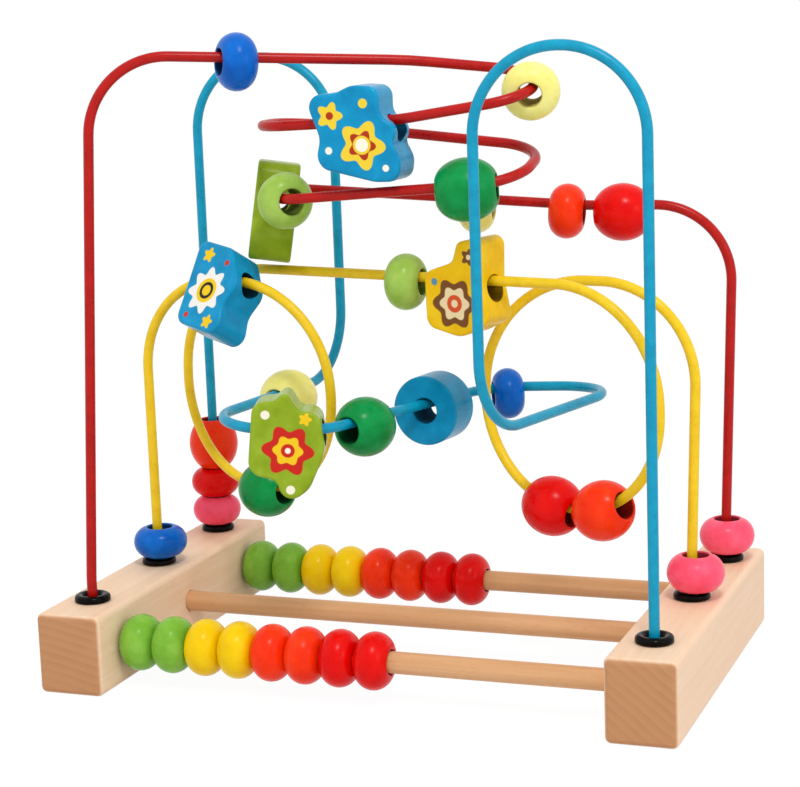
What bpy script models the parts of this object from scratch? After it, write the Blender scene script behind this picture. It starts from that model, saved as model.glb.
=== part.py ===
"""Wooden bead maze with two counting rows.

Two beech end blocks are joined by three dowels. Three bent, painted steel wires stand in black plastic
bushes on the blocks, and turned beads and sawn shapes are threaded on the wires and on two of the dowels.

Sizes are millimetres, and MM turns them into Blender's metres. X runs along the dowels from left to
right, Y along the end blocks from front to back, Z up from the table. The origin lies under the middle of
the base. A wire is a list of corners, each with a bend radius, as a wire bender reads it: the straight
stretches between the corners are joined by circular bends.
"""

import math
from dataclasses import dataclass

import bmesh
import bpy
from mathutils import Matrix, Quaternion, Vector

MM = 0.001

# Base
BLOCK_WIDTH = 27.0
BLOCK_HEIGHT = 32.0
BLOCK_LENGTH = 160.0
BLOCK_SPACING = 199.6
EDGE_ROUND = 2.5
DOWEL_DIAMETER = 8.4
DOWEL_HEIGHT = 16.5
DOWEL_SEAT = 12.0
ROW_SPACING = 58.0

# Clearances
FIT = 0.3
BEAD_GAP = 0.3

# Bushes and wires
WIRE_DIAMETER = 4.0
BUSH_FLANGE_DIAMETER = 14.4
BUSH_FLANGE_HEIGHT = 2.7
BUSH_ROUND = 1.2
BUSH_SLEEVE_DIAMETER = 8.0
BUSH_FLOOR = 1.7
LEAN_RISE = 9.0
LEAN_RADIUS = 60.0
RIGHT_MIDDLE_OUTSET = 0.6
RIGHT_REAR_OUTSET = 1.7

# Red wire: two slanting legs, and a flat coil that sinks from the left leg to the right one
RED_LEFT_RISE = 212.5
RED_LEFT_LEAN_X = 10.2
RED_LEFT_LEAN_Y = 4.5
RED_RIGHT_RISE = 145.0
RED_RIGHT_LEAN = 3.9
RED_SHOULDER_RADIUS = 30.0
COIL_HALF_WIDTH = 54.0
COIL_HALF_DEPTH = 20.0
COIL_RADIUS = 18.5
COIL_END_RADIUS = 14.0
FIRST_TURN_INSET = 2.5
FIRST_TURN_OUTSET = 5.8
COIL_SAG_RADIUS = 110.0
COIL_SAG_RISE = 2.2
COIL_DROP = 9.8
COIL_CLEARANCE = 33.5
COIL_LAST_STEP = 6.6
COIL_TURN_STEP = 21.3
COIL_FIRST_STEP = 9.9
COIL_ENTRY_STEP = 7.7
FIRST_PASS_SAG = (7.5, -4.0, 150.0)
LAST_TURN_INSET = 13.0
LAST_TURN_OUTSET = 15.5
LAST_PASS_INSET = 4.0
LAST_PASS_RUN = 19.0
LAST_PASS_BEND = (60.0, 60.0)

# Yellow wire: two upright loops between two legs
LOOP_HALF_WIDTH = 45.6
LOOP_HALF_HEIGHT = 43.5
LOOP_INSET = 45.4
LOOP_DEPTH = 7.7
LOOP_RISE = 77.5
LOOP_PITCH = 15.7
LOOP_TURN = 21.5
LOOP_BEND_SHARE = 0.985
YELLOW_SHOULDER_RADIUS = 38.0
YELLOW_RIGHT_LEAN = 3.3

# Corners of the loops that lie off the plain rectangle: side, right, top: how far along and how far up
LOOP_SHIFTS = {
    (-1, -1, 1): (0.0, 1.2), (1, 1, 1): (0.0, 2.4), (1, 1, -1): (0.0, 2.0),
    (1, -1, 1): (5.0, 0.0),
}

# Blue wire: two arches joined by a low flat zigzag
ARCH_WIDTH = 63.2
FRONT_ARCH_RISES = (211.8, 211.8)
REAR_ARCH_RISES = (209.8, 204.8)
ARCH_BEND_SHARE = 0.99
ZIGZAG_LEFT_RISES = (73.0, 73.0, 71.0)
ZIGZAG_RIGHT_RISES = (72.2, 71.2, 68.8)
ZIGZAG_LEFT_REACH = 15.0
ZIGZAG_RIGHT_REACH = 26.0
ZIGZAG_INSET = 1.0
ZIGZAG_INNER = 17.0
ZIGZAG_RADIUS = 24.4
ZIGZAG_DROP_RADIUS = 28.0

# Turned beads
ROW_BEAD_DIAMETER = 22.4
ROW_BEAD_LENGTH = 13.7
ROW_BEAD_BORE = 9.6
ROW_COLOURS = ("green", "green", "yellow", "yellow", "orange", "orange", "red", "red")
BEAD_DIAMETER = 22.6
BEAD_LENGTH = 14.0
SMALL_BEAD_DIAMETER = 21.2
SMALL_BEAD_LENGTH = 12.4
LOW_BEAD_LENGTH = 12.6
BALL_DIAMETER = 23.4
BALL_LENGTH = 22.0
SMALL_BALL_DIAMETER = 21.4
SMALL_BALL_LENGTH = 21.6
BARREL_DIAMETER = 24.4
BARREL_LENGTH = 23.0
BARREL_BELLY = 3.0
BEAD_BORE = 10.6
NARROW_BORE = 9.4
BEAD_LIP = 0.7
DISC_DIAMETER = 28.2
DISC_LENGTH = 16.4
DISC_EDGE = 0.8
LEFT_MIDDLE_STRAY = 1.2
RIGHT_MIDDLE_STRAY = 1.6
RIGHT_REAR_STRAY = 0.5

# Sawn shapes
SHAPE_THICKNESS = 17.0
SHAPE_BORE = 10.6
SHAPE_EDGE = 1.2
WAVY_ROLL = -30.0
WAISTED_ROLL = 9.0

# Outlines of the sawn shapes: along the wire, up from the bore, corner radius
LOBED_TOP = (
    (-13, -2.5, 8), (-18.5, 14, 5), (-5.5, 14.4, 6), (1, 17, 10), (11.8, 15.8, 4.5), (11.5, 5, 6),
    (18.6, 0.5, 4.5), (16, -5.5, 4),
)
LOBED_BOTTOM = ((19, 8, 8), (17.5, 0, 5), (8, 0.2, 14), (-16, 6.8, 6))
LOBED_CLEARANCE = 1.4
WAVY_OUTLINE = (
    (-11.5, 18, 4), (7, 13, 5), (15, -2, 6), (9.5, -11, 7),
    (11, -25, 5), (-14.5, -17.5, 5), (-13, -2, 8),
)
PEAR_OUTLINE = (
    (-0.5, 17.2, 2.5), (4.5, 9.4, 4), (12.2, 9, 5), (14.5, -6, 15), (8.5, -20.5, 10), (-0.5, -27, 5),
    (-4, -17.2, 4), (-14.8, -14.8, 6), (-13, 12.3, 5), (-4.5, 13.2, 4),
)
TULIP_OUTLINE = (
    (-14, 6, 5), (-1, 10.2, 4), (1.5, 18, 3.5), (13, 20.5, 4),
    (12.5, 3, 8), (15.5, -12.5, 5), (2, -18.5, 9), (-13.5, -15, 5),
)
WAISTED_OUTLINE = (
    (-11, 15, 6), (11, 15, 6), (9, 2, 8), (14.5, -12, 7),
    (10, -24.5, 6), (-10, -24.5, 6), (-14.5, -12, 7), (-9, 2, 8),
)

# Places on the wires: stretch or bend, its number, share of its length or angle, turn about the vertical
LOWEST_RUN = 10
RED_PLACES = {
    "bead_blue": ("stretch", 2, 0.31, 18.0),
    "bead_pale_yellow_front": ("bend", 5, 0.0, 0.0),
    "shape_lobed": ("stretch", 6, 0.25, 0.0),
    "barrel_green": ("stretch", LOWEST_RUN, 0.02, 12.0),
    "bead_light_green": ("bend", 11, 1.0, 18.0),
    "shape_waisted": ("stretch", 11, 0.80, -4.0),
    "bead_pale_yellow_rear": ("stretch", 12, 0.62, 0.0),
    "bead_orange": ("stretch", 12, 0.96, 0.0),
    "ball_red": ("stretch", 13, 0.47, 0.0),
}
YELLOW_PLACES = {
    "shape_wavy": ("bend", 2, -0.06, -8.0),
    "ball_dark_green": ("bend", 3, 0.99, 0.0),
    "bead_light_green": ("stretch", 5, 0.516, 14.0),
    "shape_tulip": ("stretch", 5, 0.72, 0.0),
    "ball_orange": ("bend", 7, 0.80, 0.0),
    "ball_red": ("bend", 8, 0.12, 0.0),
}
BLUE_PLACES = {
    "ball_pale_yellow": ("stretch", 3, 0.30, 0.0),
    "shape_pear": ("bend", 5, 0.27, -2.0),
    "ball_dark_green": ("stretch", 5, 0.177, 0.0),
    "disc": ("stretch", 5, 0.72, 10.0),
    "bead_blue": ("bend", 6, 0.65, 0.0),
}

# Facets
ROUND_STEPS = 12
FLAT_STEPS = 5
BALL_STEPS = 6
EDGE_STEPS = 2
WIRE_ROUNDNESS = 2
BEND_STEP = 15.0
OUTLINE_STEP = 26.0
WELD = 0.00002

# Paint and wood: colour (linear red, green, blue), roughness, metallic
FINISHES = {
    "beech": ((0.78, 0.58, 0.38), 0.55, 0.0),
    "beech_dowel": ((0.70, 0.46, 0.27), 0.55, 0.0),
    "bush_plastic": ((0.012, 0.012, 0.013), 0.25, 0.0),
    "red_wire": ((0.45, 0.012, 0.010), 0.30, 0.0),
    "yellow_wire": ((0.72, 0.42, 0.018), 0.30, 0.0),
    "blue_wire": ((0.010, 0.27, 0.47), 0.30, 0.0),
    "red": ((0.72, 0.006, 0.006), 0.32, 0.0),
    "orange": ((0.83, 0.050, 0.008), 0.32, 0.0),
    "yellow": ((0.88, 0.58, 0.008), 0.32, 0.0),
    "green": ((0.17, 0.42, 0.075), 0.32, 0.0),
    "dark_green": ((0.006, 0.25, 0.050), 0.32, 0.0),
    "light_green": ((0.30, 0.55, 0.10), 0.32, 0.0),
    "pale_yellow": ((0.82, 0.70, 0.16), 0.32, 0.0),
    "blue": ((0.008, 0.13, 0.56), 0.32, 0.0),
    "sky_blue": ((0.012, 0.23, 0.46), 0.40, 0.0),
    "pink": ((0.87, 0.085, 0.17), 0.32, 0.0),
    "olive": ((0.27, 0.41, 0.028), 0.40, 0.0),
    "gold": ((0.79, 0.50, 0.010), 0.40, 0.0),
}

LEG_X = (BLOCK_SPACING + BLOCK_WIDTH) / 2
WIRE_RADIUS = WIRE_DIAMETER / 2
BUSH_TOP = BLOCK_HEIGHT + FIT + BUSH_FLANGE_HEIGHT
WIRE_FOOT = DOWEL_HEIGHT + DOWEL_DIAMETER / 2 + FIT + BUSH_FLOOR + FIT
FACET_SHRINK = math.cos(math.pi / ROUND_STEPS)
UP = Vector((0, 0, 1))
SIDES = {"left": -1, "right": 1}
ROWS = {"front": -1, "middle": 0, "rear": 1}
LEG_OUTSETS = {(1, 0): RIGHT_MIDDLE_OUTSET, (1, 1): RIGHT_REAR_OUTSET}
COLLECTION = "wooden_abacus"


@dataclass
class Bend:
    """A circular bend: its centre, the arm to its start, its axis, its angle and its radius."""
    centre: Vector
    arm: Vector
    axis: Vector
    angle: float
    radius: float

    def point(self, angle):
        """Point of the centre line after this much of the bend."""
        return self.centre + Quaternion(self.axis, angle) @ self.arm

    def heading(self, angle):
        """Unit direction of the centre line after this much of the bend."""
        return (Quaternion(self.axis, angle) @ self.axis.cross(self.arm)).normalized()


def bend_between(before, corner, after, radius):
    """The bend of this radius that rounds a corner between its two neighbours."""
    back = (before - corner).normalized()
    ahead = (after - corner).normalized()
    angle = math.pi - back.angle(ahead)
    start = corner + back * radius * math.tan(angle / 2)
    centre = corner + (back + ahead).normalized() * radius / math.cos(angle / 2)
    axis = (-back).cross(ahead).normalized()
    return Bend(centre, start - centre, axis, angle, radius)


def bend_points(bend, step):
    """Points along a bend, no further apart than the step in degrees."""
    count = max(1, math.ceil(math.degrees(bend.angle) / step))
    return [bend.point(bend.angle * index / count) for index in range(count + 1)]


class Wire:
    """A wire's centre line, from corners given as (x, y, z, bend radius)."""

    def __init__(self, corners):
        self.points = [Vector(corner[:3]) for corner in corners]
        self.bends = [None] + [
            bend_between(self.points[i - 1], self.points[i], self.points[i + 1], corners[i][3])
            for i in range(1, len(corners) - 1)
        ] + [None]

    def stretch(self, index):
        """Ends of the straight stretch that follows a corner."""
        first, last = self.bends[index], self.bends[index + 1]
        start = first.point(first.angle) if first else self.points[index]
        end = last.point(0.0) if last else self.points[index + 1]
        return start, end

    def centre_line(self):
        """The whole centre line as points."""
        line = [self.points[0]]
        for bend in self.bends[1:-1]:
            line += bend_points(bend, BEND_STEP)
        return line + [self.points[-1]]


# Wire routes

def leg_place(side, row):
    """X and Y of a leg: on the middle line of its block, apart from two legs that stand further out."""
    return side * (LEG_X + LEG_OUTSETS.get((side, row), 0.0)), row * ROW_SPACING


def leg_foot(side, row, lean=True):
    """Corners of a leg's foot in its bush, and of the slight bend where a slanting leg starts."""
    x, y = leg_place(side, row)
    foot = [(x, y, WIRE_FOOT, 0)]
    if lean:
        foot.append((x, y, BLOCK_HEIGHT + LEAN_RISE, LEAN_RADIUS))
    return foot


def half_turn(corners):
    """Corners turned half round the vertical axis and taken backwards."""
    return [(-x, -y, z, radius) for x, y, z, radius in reversed(corners)]


def red_route():
    """Left front leg, first pass, two turns of the coil, last pass along the back, right rear leg."""
    last = BLOCK_HEIGHT + LOOP_RISE + LOOP_HALF_HEIGHT + COIL_CLEARANCE
    second_right = last + COIL_LAST_STEP
    left = second_right + COIL_TURN_STEP
    first_right = left + COIL_FIRST_STEP
    entry = first_right + COIL_ENTRY_STEP
    wide, deep = COIL_HALF_WIDTH, COIL_HALF_DEPTH
    left_top = BLOCK_HEIGHT + RED_LEFT_RISE
    right_top = BLOCK_HEIGHT + RED_RIGHT_RISE
    sag_x, sag_y, sag_radius = FIRST_PASS_SAG
    bend_x, bend_radius = LAST_PASS_BEND
    rear = ROW_SPACING - LAST_PASS_INSET
    return leg_foot(-1, -1) + [
        (RED_LEFT_LEAN_X - LEG_X, RED_LEFT_LEAN_Y - ROW_SPACING, left_top, RED_SHOULDER_RADIUS),
        (sag_x, sag_y, (left_top + entry) / 2, sag_radius),
        (wide - FIRST_TURN_INSET, deep, entry, COIL_END_RADIUS),
        (wide + FIRST_TURN_OUTSET, -deep, first_right, COIL_END_RADIUS),
        (sag_x, -deep, left + COIL_SAG_RISE, COIL_SAG_RADIUS),
        (-wide, -deep, left, COIL_RADIUS),
        (-wide, deep, left, COIL_RADIUS),
        (wide, deep, second_right + COIL_DROP, COIL_RADIUS),
        (wide, -deep, second_right, COIL_RADIUS),
        (LAST_TURN_INSET - wide, -deep, last, COIL_END_RADIUS),
        (-wide - LAST_TURN_OUTSET, rear - LAST_PASS_RUN, last, COIL_END_RADIUS),
        (bend_x, rear, right_top, bend_radius),
        (leg_place(1, 1)[0] + RED_RIGHT_LEAN, ROW_SPACING, right_top, RED_SHOULDER_RADIUS),
    ] + leg_foot(1, 1)[::-1]


def loop_corners(side):
    """Corners of one upright loop, taken clockwise from its front strand to its rear strand."""
    turn = math.radians(LOOP_TURN)
    along = Vector((math.cos(turn), -math.sin(turn), 0))
    through = Vector((math.sin(turn), math.cos(turn), 0))
    centre = Vector((side * (LEG_X - LOOP_INSET), -side * LOOP_DEPTH, BLOCK_HEIGHT + LOOP_RISE))
    radius = min(LOOP_HALF_WIDTH, LOOP_HALF_HEIGHT) * LOOP_BEND_SHARE
    corners = []
    for step, (right, top) in enumerate(((1, 1), (1, -1), (-1, -1), (-1, 1))):
        drift = LOOP_PITCH * (step - 1.5) / 4
        shift, lift = LOOP_SHIFTS.get((side, right, top), (0.0, 0.0))
        reach = right * LOOP_HALF_WIDTH + shift
        rise = top * LOOP_HALF_HEIGHT + lift
        corner = centre + along * reach + through * drift + UP * rise
        corners.append((*corner, radius))
    return corners


def yellow_route():
    """Left middle leg, left loop, the run across the middle, right loop, right middle leg."""
    top = BLOCK_HEIGHT + LOOP_RISE + LOOP_HALF_HEIGHT
    left_leg = leg_foot(-1, 0, lean=False) + [(-LEG_X, 0, top, YELLOW_SHOULDER_RADIUS)]
    right_top = (leg_place(1, 0)[0] + YELLOW_RIGHT_LEAN, 0, top, YELLOW_SHOULDER_RADIUS)
    right_leg = [right_top] + leg_foot(1, 0)[::-1]
    return left_leg + loop_corners(-1) + loop_corners(1) + right_leg


def blue_half(reach, arch_rises, zigzag_rises):
    """Corners of the rear left half of the blue wire: arch, inner leg and one turn of the zigzag."""
    inner = LEG_X - ARCH_WIDTH
    outer_top, inner_top = (BLOCK_HEIGHT + rise for rise in arch_rises)
    drop, turn, middle = (BLOCK_HEIGHT + rise for rise in zigzag_rises)
    front = ZIGZAG_INSET - ROW_SPACING
    arch_radius = ARCH_WIDTH / 2 * ARCH_BEND_SHARE
    return leg_foot(-1, 1, lean=False) + [
        (-LEG_X, ROW_SPACING, outer_top, arch_radius),
        (-inner, ROW_SPACING, inner_top, arch_radius),
        (-inner, ROW_SPACING, drop, ZIGZAG_DROP_RADIUS),
        (-inner - reach, front, turn, ZIGZAG_RADIUS),
        (-ZIGZAG_INNER, front, middle, ZIGZAG_RADIUS),
    ]


def blue_route():
    """Rear left arch, low zigzag, front right arch: one half, and another turned half round."""
    rear = blue_half(ZIGZAG_LEFT_REACH, REAR_ARCH_RISES, ZIGZAG_LEFT_RISES)
    front = blue_half(ZIGZAG_RIGHT_REACH, FRONT_ARCH_RISES, ZIGZAG_RIGHT_RISES)
    return rear + half_turn(front)


# Scene, paint and plain meshes

def clear_scene():
    """Remove every object of the start-up scene."""
    for thing in list(bpy.data.objects):
        bpy.data.objects.remove(thing, do_unlink=True)


def group(name):
    """A collection of this name, made the first time it is asked for."""
    found = bpy.data.collections.get(name)
    if found is None:
        found = bpy.data.collections.new(name)
        bpy.context.scene.collection.children.link(found)
    return found


def paint(finish):
    """The material of a finish, made the first time it is asked for."""
    found = bpy.data.materials.get(finish)
    if found is None:
        colour, roughness, metallic = FINISHES[finish]
        found = bpy.data.materials.new(finish)
        found.use_nodes = True
        shader = found.node_tree.nodes["Principled BSDF"]
        shader.inputs["Base Color"].default_value = (*colour, 1.0)
        shader.inputs["Roughness"].default_value = roughness
        shader.inputs["Metallic"].default_value = metallic
    return found


def add_piece(name, mesh, finish, pose=Matrix()):
    """A named piece of the toy from a mesh in metres, with its paint."""
    piece = bpy.data.objects.new(name, mesh)
    group(COLLECTION).objects.link(piece)
    mesh.materials.append(paint(finish))
    piece.matrix_world = pose
    return piece


def add_cylinder(mesh_builder, diameter, length, middle, axis):
    """Add a round bar about an axis to a mesh under construction."""
    turn = UP.rotation_difference(axis).to_matrix().to_4x4()
    bmesh.ops.create_cone(
        mesh_builder, cap_ends=True, segments=ROUND_STEPS, radius1=diameter / 2 * MM,
        radius2=diameter / 2 * MM, depth=length * MM, matrix=Matrix.Translation(middle * MM) @ turn)


def mesh_of(name, mesh_builder):
    """The finished mesh of a mesh under construction."""
    mesh = bpy.data.meshes.new(name)
    mesh_builder.to_mesh(mesh)
    mesh_builder.free()
    return mesh


def cut(piece, cutter_mesh, pose=Matrix()):
    """Cut a piece with a hidden cutter."""
    cutter = bpy.data.objects.new(piece.name + "_cutter", cutter_mesh)
    group("cutters").objects.link(cutter)
    cutter.matrix_world = pose
    cutter.hide_render = True
    cutter.display_type = "WIRE"
    drill = piece.modifiers.new("Drill", "BOOLEAN")
    drill.operation = "DIFFERENCE"
    drill.solver = "EXACT"
    drill.object = cutter


def mesh_of_curve(curve):
    """The closed mesh of a curve, with the rims of its caps joined to its sides."""
    stand_in = bpy.data.objects.new(curve.name, curve)
    bpy.context.scene.collection.objects.link(stand_in)
    bpy.context.view_layer.update()
    evaluated = stand_in.evaluated_get(bpy.context.evaluated_depsgraph_get())
    mesh = bpy.data.meshes.new_from_object(evaluated)
    bpy.data.objects.remove(stand_in)
    builder = bmesh.new()
    builder.from_mesh(mesh)
    bmesh.ops.remove_doubles(builder, verts=builder.verts, dist=WELD)
    builder.to_mesh(mesh)
    builder.free()
    return mesh


def turned(name, profile, finish, pose, pivot=None):
    """A piece turned from a closed profile of (radius, height) about its own Z axis.

    With a pivot, the piece's origin lies there, and the piece stays where its pose puts it.
    """
    mesh = bpy.data.meshes.new(name)
    points = [(radius * MM, 0, height * MM) for radius, height in profile]
    mesh.from_pydata(points, [(i, (i + 1) % len(points)) for i in range(len(points))], [])
    piece = add_piece(name, mesh, finish, pose)
    lathe = piece.modifiers.new("Lathe", "SCREW")
    lathe.steps = lathe.render_steps = ROUND_STEPS
    lathe.use_merge_vertices = True
    lathe.merge_threshold = WELD
    lathe.use_smooth_shade = True
    if pivot is not None:
        bpy.context.view_layer.update()
        evaluated = piece.evaluated_get(bpy.context.evaluated_depsgraph_get())
        solid = bpy.data.meshes.new_from_object(evaluated)
        centre = Matrix.Translation(pivot * MM)
        solid.transform(centre.inverted() @ pose)
        piece.modifiers.clear()
        piece.data = solid
        piece.matrix_world = centre
    return piece


# Base

def build_end_block(name, side):
    """A beech end block with eased edges, three dowel sockets and three bush holes."""
    builder = bmesh.new()
    size = Matrix.Diagonal((BLOCK_WIDTH * MM, BLOCK_LENGTH * MM, BLOCK_HEIGHT * MM, 1))
    bmesh.ops.create_cube(builder, size=1.0, matrix=size)
    middle = Vector((side * LEG_X, 0, BLOCK_HEIGHT / 2))
    block = add_piece(name, mesh_of(name, builder), "beech", Matrix.Translation(middle * MM))
    ease = block.modifiers.new("Eased edges", "BEVEL")
    ease.width = EDGE_ROUND * MM
    ease.segments = EDGE_STEPS
    holes = bmesh.new()
    socket = (DOWEL_DIAMETER + 2 * FIT) / FACET_SHRINK
    hole = (BUSH_SLEEVE_DIAMETER + 2 * FIT) / FACET_SHRINK
    bottom = WIRE_FOOT - FIT
    for row in ROWS.values():
        inner = Vector((side * BLOCK_SPACING / 2, row * ROW_SPACING, DOWEL_HEIGHT))
        add_cylinder(holes, socket, 2 * (DOWEL_SEAT + FIT), inner, Vector((1, 0, 0)))
        top = Vector((*leg_place(side, row), BLOCK_HEIGHT))
        add_cylinder(holes, hole, 2 * (BLOCK_HEIGHT - bottom), top, UP)
    cut(block, mesh_of(name, holes))


def build_dowel(name, row):
    """A round dowel between the end blocks."""
    builder = bmesh.new()
    middle = Vector((0, row * ROW_SPACING, DOWEL_HEIGHT))
    add_cylinder(builder, DOWEL_DIAMETER, BLOCK_SPACING + 2 * DOWEL_SEAT, Vector(), Vector((1, 0, 0)))
    mesh = mesh_of(name, builder)
    mesh.shade_smooth()
    add_piece(name, mesh, "beech_dowel", Matrix.Translation(middle * MM))


def build_bush(name, side, row):
    """A black bush: a domed flange on the block and a sleeve in its hole, bored for the wire."""
    bore = (WIRE_RADIUS + FIT) / FACET_SHRINK
    rim = BUSH_FLANGE_DIAMETER / 2
    sleeve = BUSH_SLEEVE_DIAMETER / 2
    top = BUSH_FLANGE_HEIGHT
    profile = [
        (bore, top), (rim - 2 * BUSH_ROUND, top), (rim - BUSH_ROUND / 2, top - BUSH_ROUND / 2),
        (rim, top - 2 * BUSH_ROUND), (rim, 0), (sleeve, 0),
        (sleeve, WIRE_FOOT - BLOCK_HEIGHT - FIT), (bore, WIRE_FOOT - BLOCK_HEIGHT - FIT),
    ]
    seat = Vector((*leg_place(side, row), BLOCK_HEIGHT + FIT))
    turned(name, profile, "bush_plastic", Matrix.Translation(seat * MM))


def build_wire(name, wire, finish):
    """A round wire along its centre line."""
    line = wire.centre_line()
    curve = bpy.data.curves.new(name, "CURVE")
    curve.dimensions = "3D"
    curve.bevel_depth = WIRE_RADIUS * MM
    curve.bevel_resolution = WIRE_ROUNDNESS
    curve.use_fill_caps = True
    spline = curve.splines.new("POLY")
    spline.points.add(len(line) - 1)
    for node, point in zip(spline.points, line):
        node.co = (*(point * MM), 1.0)
    mesh = mesh_of_curve(curve)
    mesh.shade_smooth()
    add_piece(name, mesh, finish)


# Turned beads

@dataclass(frozen=True)
class Bead:
    """A turned bead: its sizes, the radius its side is struck from, and the steps of that side."""
    diameter: float
    length: float
    bore: float
    belly: float
    steps: int

    def profile(self):
        """Closed profile: an elliptic side from lip to lip, and a straight bore."""
        lip = self.bore / 2 + BEAD_LIP
        span = self.diameter / 2 - self.belly
        edge = math.acos((lip - self.belly) / span)
        rise = self.length / 2 / math.sin(edge)
        angles = [edge * (1 - 2 * index / self.steps) for index in range(self.steps + 1)]
        side = [(self.belly + span * math.cos(angle), rise * math.sin(angle)) for angle in angles]
        return side + [(self.bore / 2, -self.length / 2), (self.bore / 2, self.length / 2)]


@dataclass(frozen=True)
class Disc:
    """A turned disc with chamfered rims and a straight bore."""
    diameter: float
    length: float
    bore: float
    edge: float

    def profile(self):
        """Closed profile of the disc."""
        rim, half = self.diameter / 2, self.length / 2
        outer = [(rim - self.edge, half), (rim, half - self.edge)]
        below = [(radius, -height) for radius, height in reversed(outer)]
        return outer + below + [(self.bore / 2, -half), (self.bore / 2, half)]


ROW_BEAD = Bead(ROW_BEAD_DIAMETER, ROW_BEAD_LENGTH, ROW_BEAD_BORE,
                (ROW_BEAD_DIAMETER - ROW_BEAD_LENGTH) / 2, FLAT_STEPS)
FLAT_BEAD = Bead(BEAD_DIAMETER, BEAD_LENGTH, BEAD_BORE,
                 (BEAD_DIAMETER - BEAD_LENGTH) / 2, FLAT_STEPS)
SMALL_BEAD = Bead(SMALL_BEAD_DIAMETER, SMALL_BEAD_LENGTH, BEAD_BORE,
                  (SMALL_BEAD_DIAMETER - SMALL_BEAD_LENGTH) / 2, FLAT_STEPS)
LOW_BEAD = Bead(BEAD_DIAMETER, LOW_BEAD_LENGTH, BEAD_BORE,
                (BEAD_DIAMETER - LOW_BEAD_LENGTH) / 2, FLAT_STEPS)
NARROW_BEAD = Bead(BEAD_DIAMETER, BEAD_LENGTH, NARROW_BORE,
                   (BEAD_DIAMETER - BEAD_LENGTH) / 2, FLAT_STEPS)
BALL = Bead(BALL_DIAMETER, BALL_LENGTH, BEAD_BORE, 0.0, BALL_STEPS)
SMALL_BALL = Bead(SMALL_BALL_DIAMETER, SMALL_BALL_LENGTH, BEAD_BORE, 0.0, BALL_STEPS)
BARREL = Bead(BARREL_DIAMETER, BARREL_LENGTH, BEAD_BORE, BARREL_BELLY, BALL_STEPS)
DISC = Disc(DISC_DIAMETER, DISC_LENGTH, BEAD_BORE, DISC_EDGE)


def build_row(row_name):
    """Eight beads side by side on a dowel, the first against the left end block."""
    pitch = ROW_BEAD_LENGTH + BEAD_GAP
    first = FIT + ROW_BEAD_LENGTH / 2 - BLOCK_SPACING / 2
    for index, finish in enumerate(ROW_COLOURS):
        middle = Vector((first + index * pitch, ROWS[row_name] * ROW_SPACING, DOWEL_HEIGHT))
        turn = UP.rotation_difference(Vector((1, 0, 0))).to_matrix().to_4x4()
        name = f"{row_name}_row_bead_{index + 1}_{finish}"
        turned(name, ROW_BEAD.profile(), finish, Matrix.Translation(middle * MM) @ turn)


def build_stack(wire_name, side, row, stack, stray=0.0):
    """Beads standing one on another on a bush, around a wire's leg and straying from it to the right."""
    x, y = leg_place(side, row)
    height = BUSH_TOP + FIT
    for bead, finish, suffix in stack:
        middle = Vector((x + stray, y, height + bead.length / 2))
        turned(f"{wire_name}_{suffix}", bead.profile(), finish, Matrix.Translation(middle * MM))
        height += bead.length + BEAD_GAP


# Pieces threaded on the wires

@dataclass
class Spot:
    """A place on a wire: the point, the direction there, and the bend when it lies on one."""
    point: Vector
    heading: Vector
    bend: Bend = None


def on_stretch(wire, index, share):
    """The spot at a share of a straight stretch's length."""
    start, end = wire.stretch(index)
    return Spot(start.lerp(end, share), (end - start).normalized())


def on_bend(wire, index, share):
    """The spot at a share of a bend's angle."""
    bend = wire.bends[index]
    return Spot(bend.point(bend.angle * share), bend.heading(bend.angle * share), bend)


def hang(spot, bore, length, yaw):
    """How far a piece of this bore and length hangs from the wire's centre line, and in which direction.

    A piece turned by its yaw crosses the wire at a slant. On a bend the wire also swells toward the
    bend's centre inside the bore, so the piece shifts by half of both.
    """
    upward = (UP - spot.heading * UP.dot(spot.heading)).normalized()
    free = bore / 2 * FACET_SHRINK - WIRE_RADIUS - FIT
    slant = length / 2 * math.tan(math.radians(abs(yaw)))
    if spot.bend is None:
        return upward * -math.sqrt(max(0.0, free ** 2 - slant ** 2))
    free -= FIT
    inward = (spot.bend.centre - spot.point).normalized()
    swell = (length / 2) ** 2 / (2 * spot.bend.radius) + slant
    tilt = swell / 2 * abs(upward.dot(inward))
    sag = math.sqrt(max(0.0, tilt ** 2 + free ** 2 - swell ** 2 / 4)) - tilt
    return inward * swell / 2 - upward * sag


def pose_of(middle, along, upward):
    """Pose with X along one direction and Y as near as can be to another."""
    across = along.cross(upward).normalized()
    upright = across.cross(along)
    turn = Matrix((along, upright, across)).transposed().to_4x4()
    return Matrix.Translation(middle * MM) @ turn


def spot_at(wire, place):
    """The spot of a place on a wire."""
    kind, number, share, _ = place
    finder = on_bend if kind == "bend" else on_stretch
    return finder(wire, number, share)


def build_bead(name, bead, finish, wire, place):
    """A turned bead hanging at a place on a wire. On a bend its origin is the bend's centre."""
    spot, yaw = spot_at(wire, place), place[3]
    middle = spot.point + hang(spot, bead.bore, bead.length, yaw)
    along = Quaternion(UP, math.radians(yaw)) @ spot.heading
    pose = pose_of(middle, along, UP) @ Matrix.Rotation(math.pi / 2, 4, "Y")
    turned(name, bead.profile(), finish, pose, spot.bend.centre if spot.bend else None)


def build_beads(wire_name, wire, places, beads):
    """The turned beads along one wire."""
    for suffix, (bead, finish) in beads.items():
        build_bead(f"{wire_name}_{suffix}", bead, finish, wire, places[suffix])


def rounded_outline(corners):
    """Points of a flat outline whose corners are rounded by arcs."""
    points = [Vector((u, v, 0)) for u, v, _ in corners]
    line = []
    for index, (_, _, radius) in enumerate(corners):
        after = points[(index + 1) % len(points)]
        line += bend_points(bend_between(points[index - 1], points[index], after, radius), OUTLINE_STEP)
    return line


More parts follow.
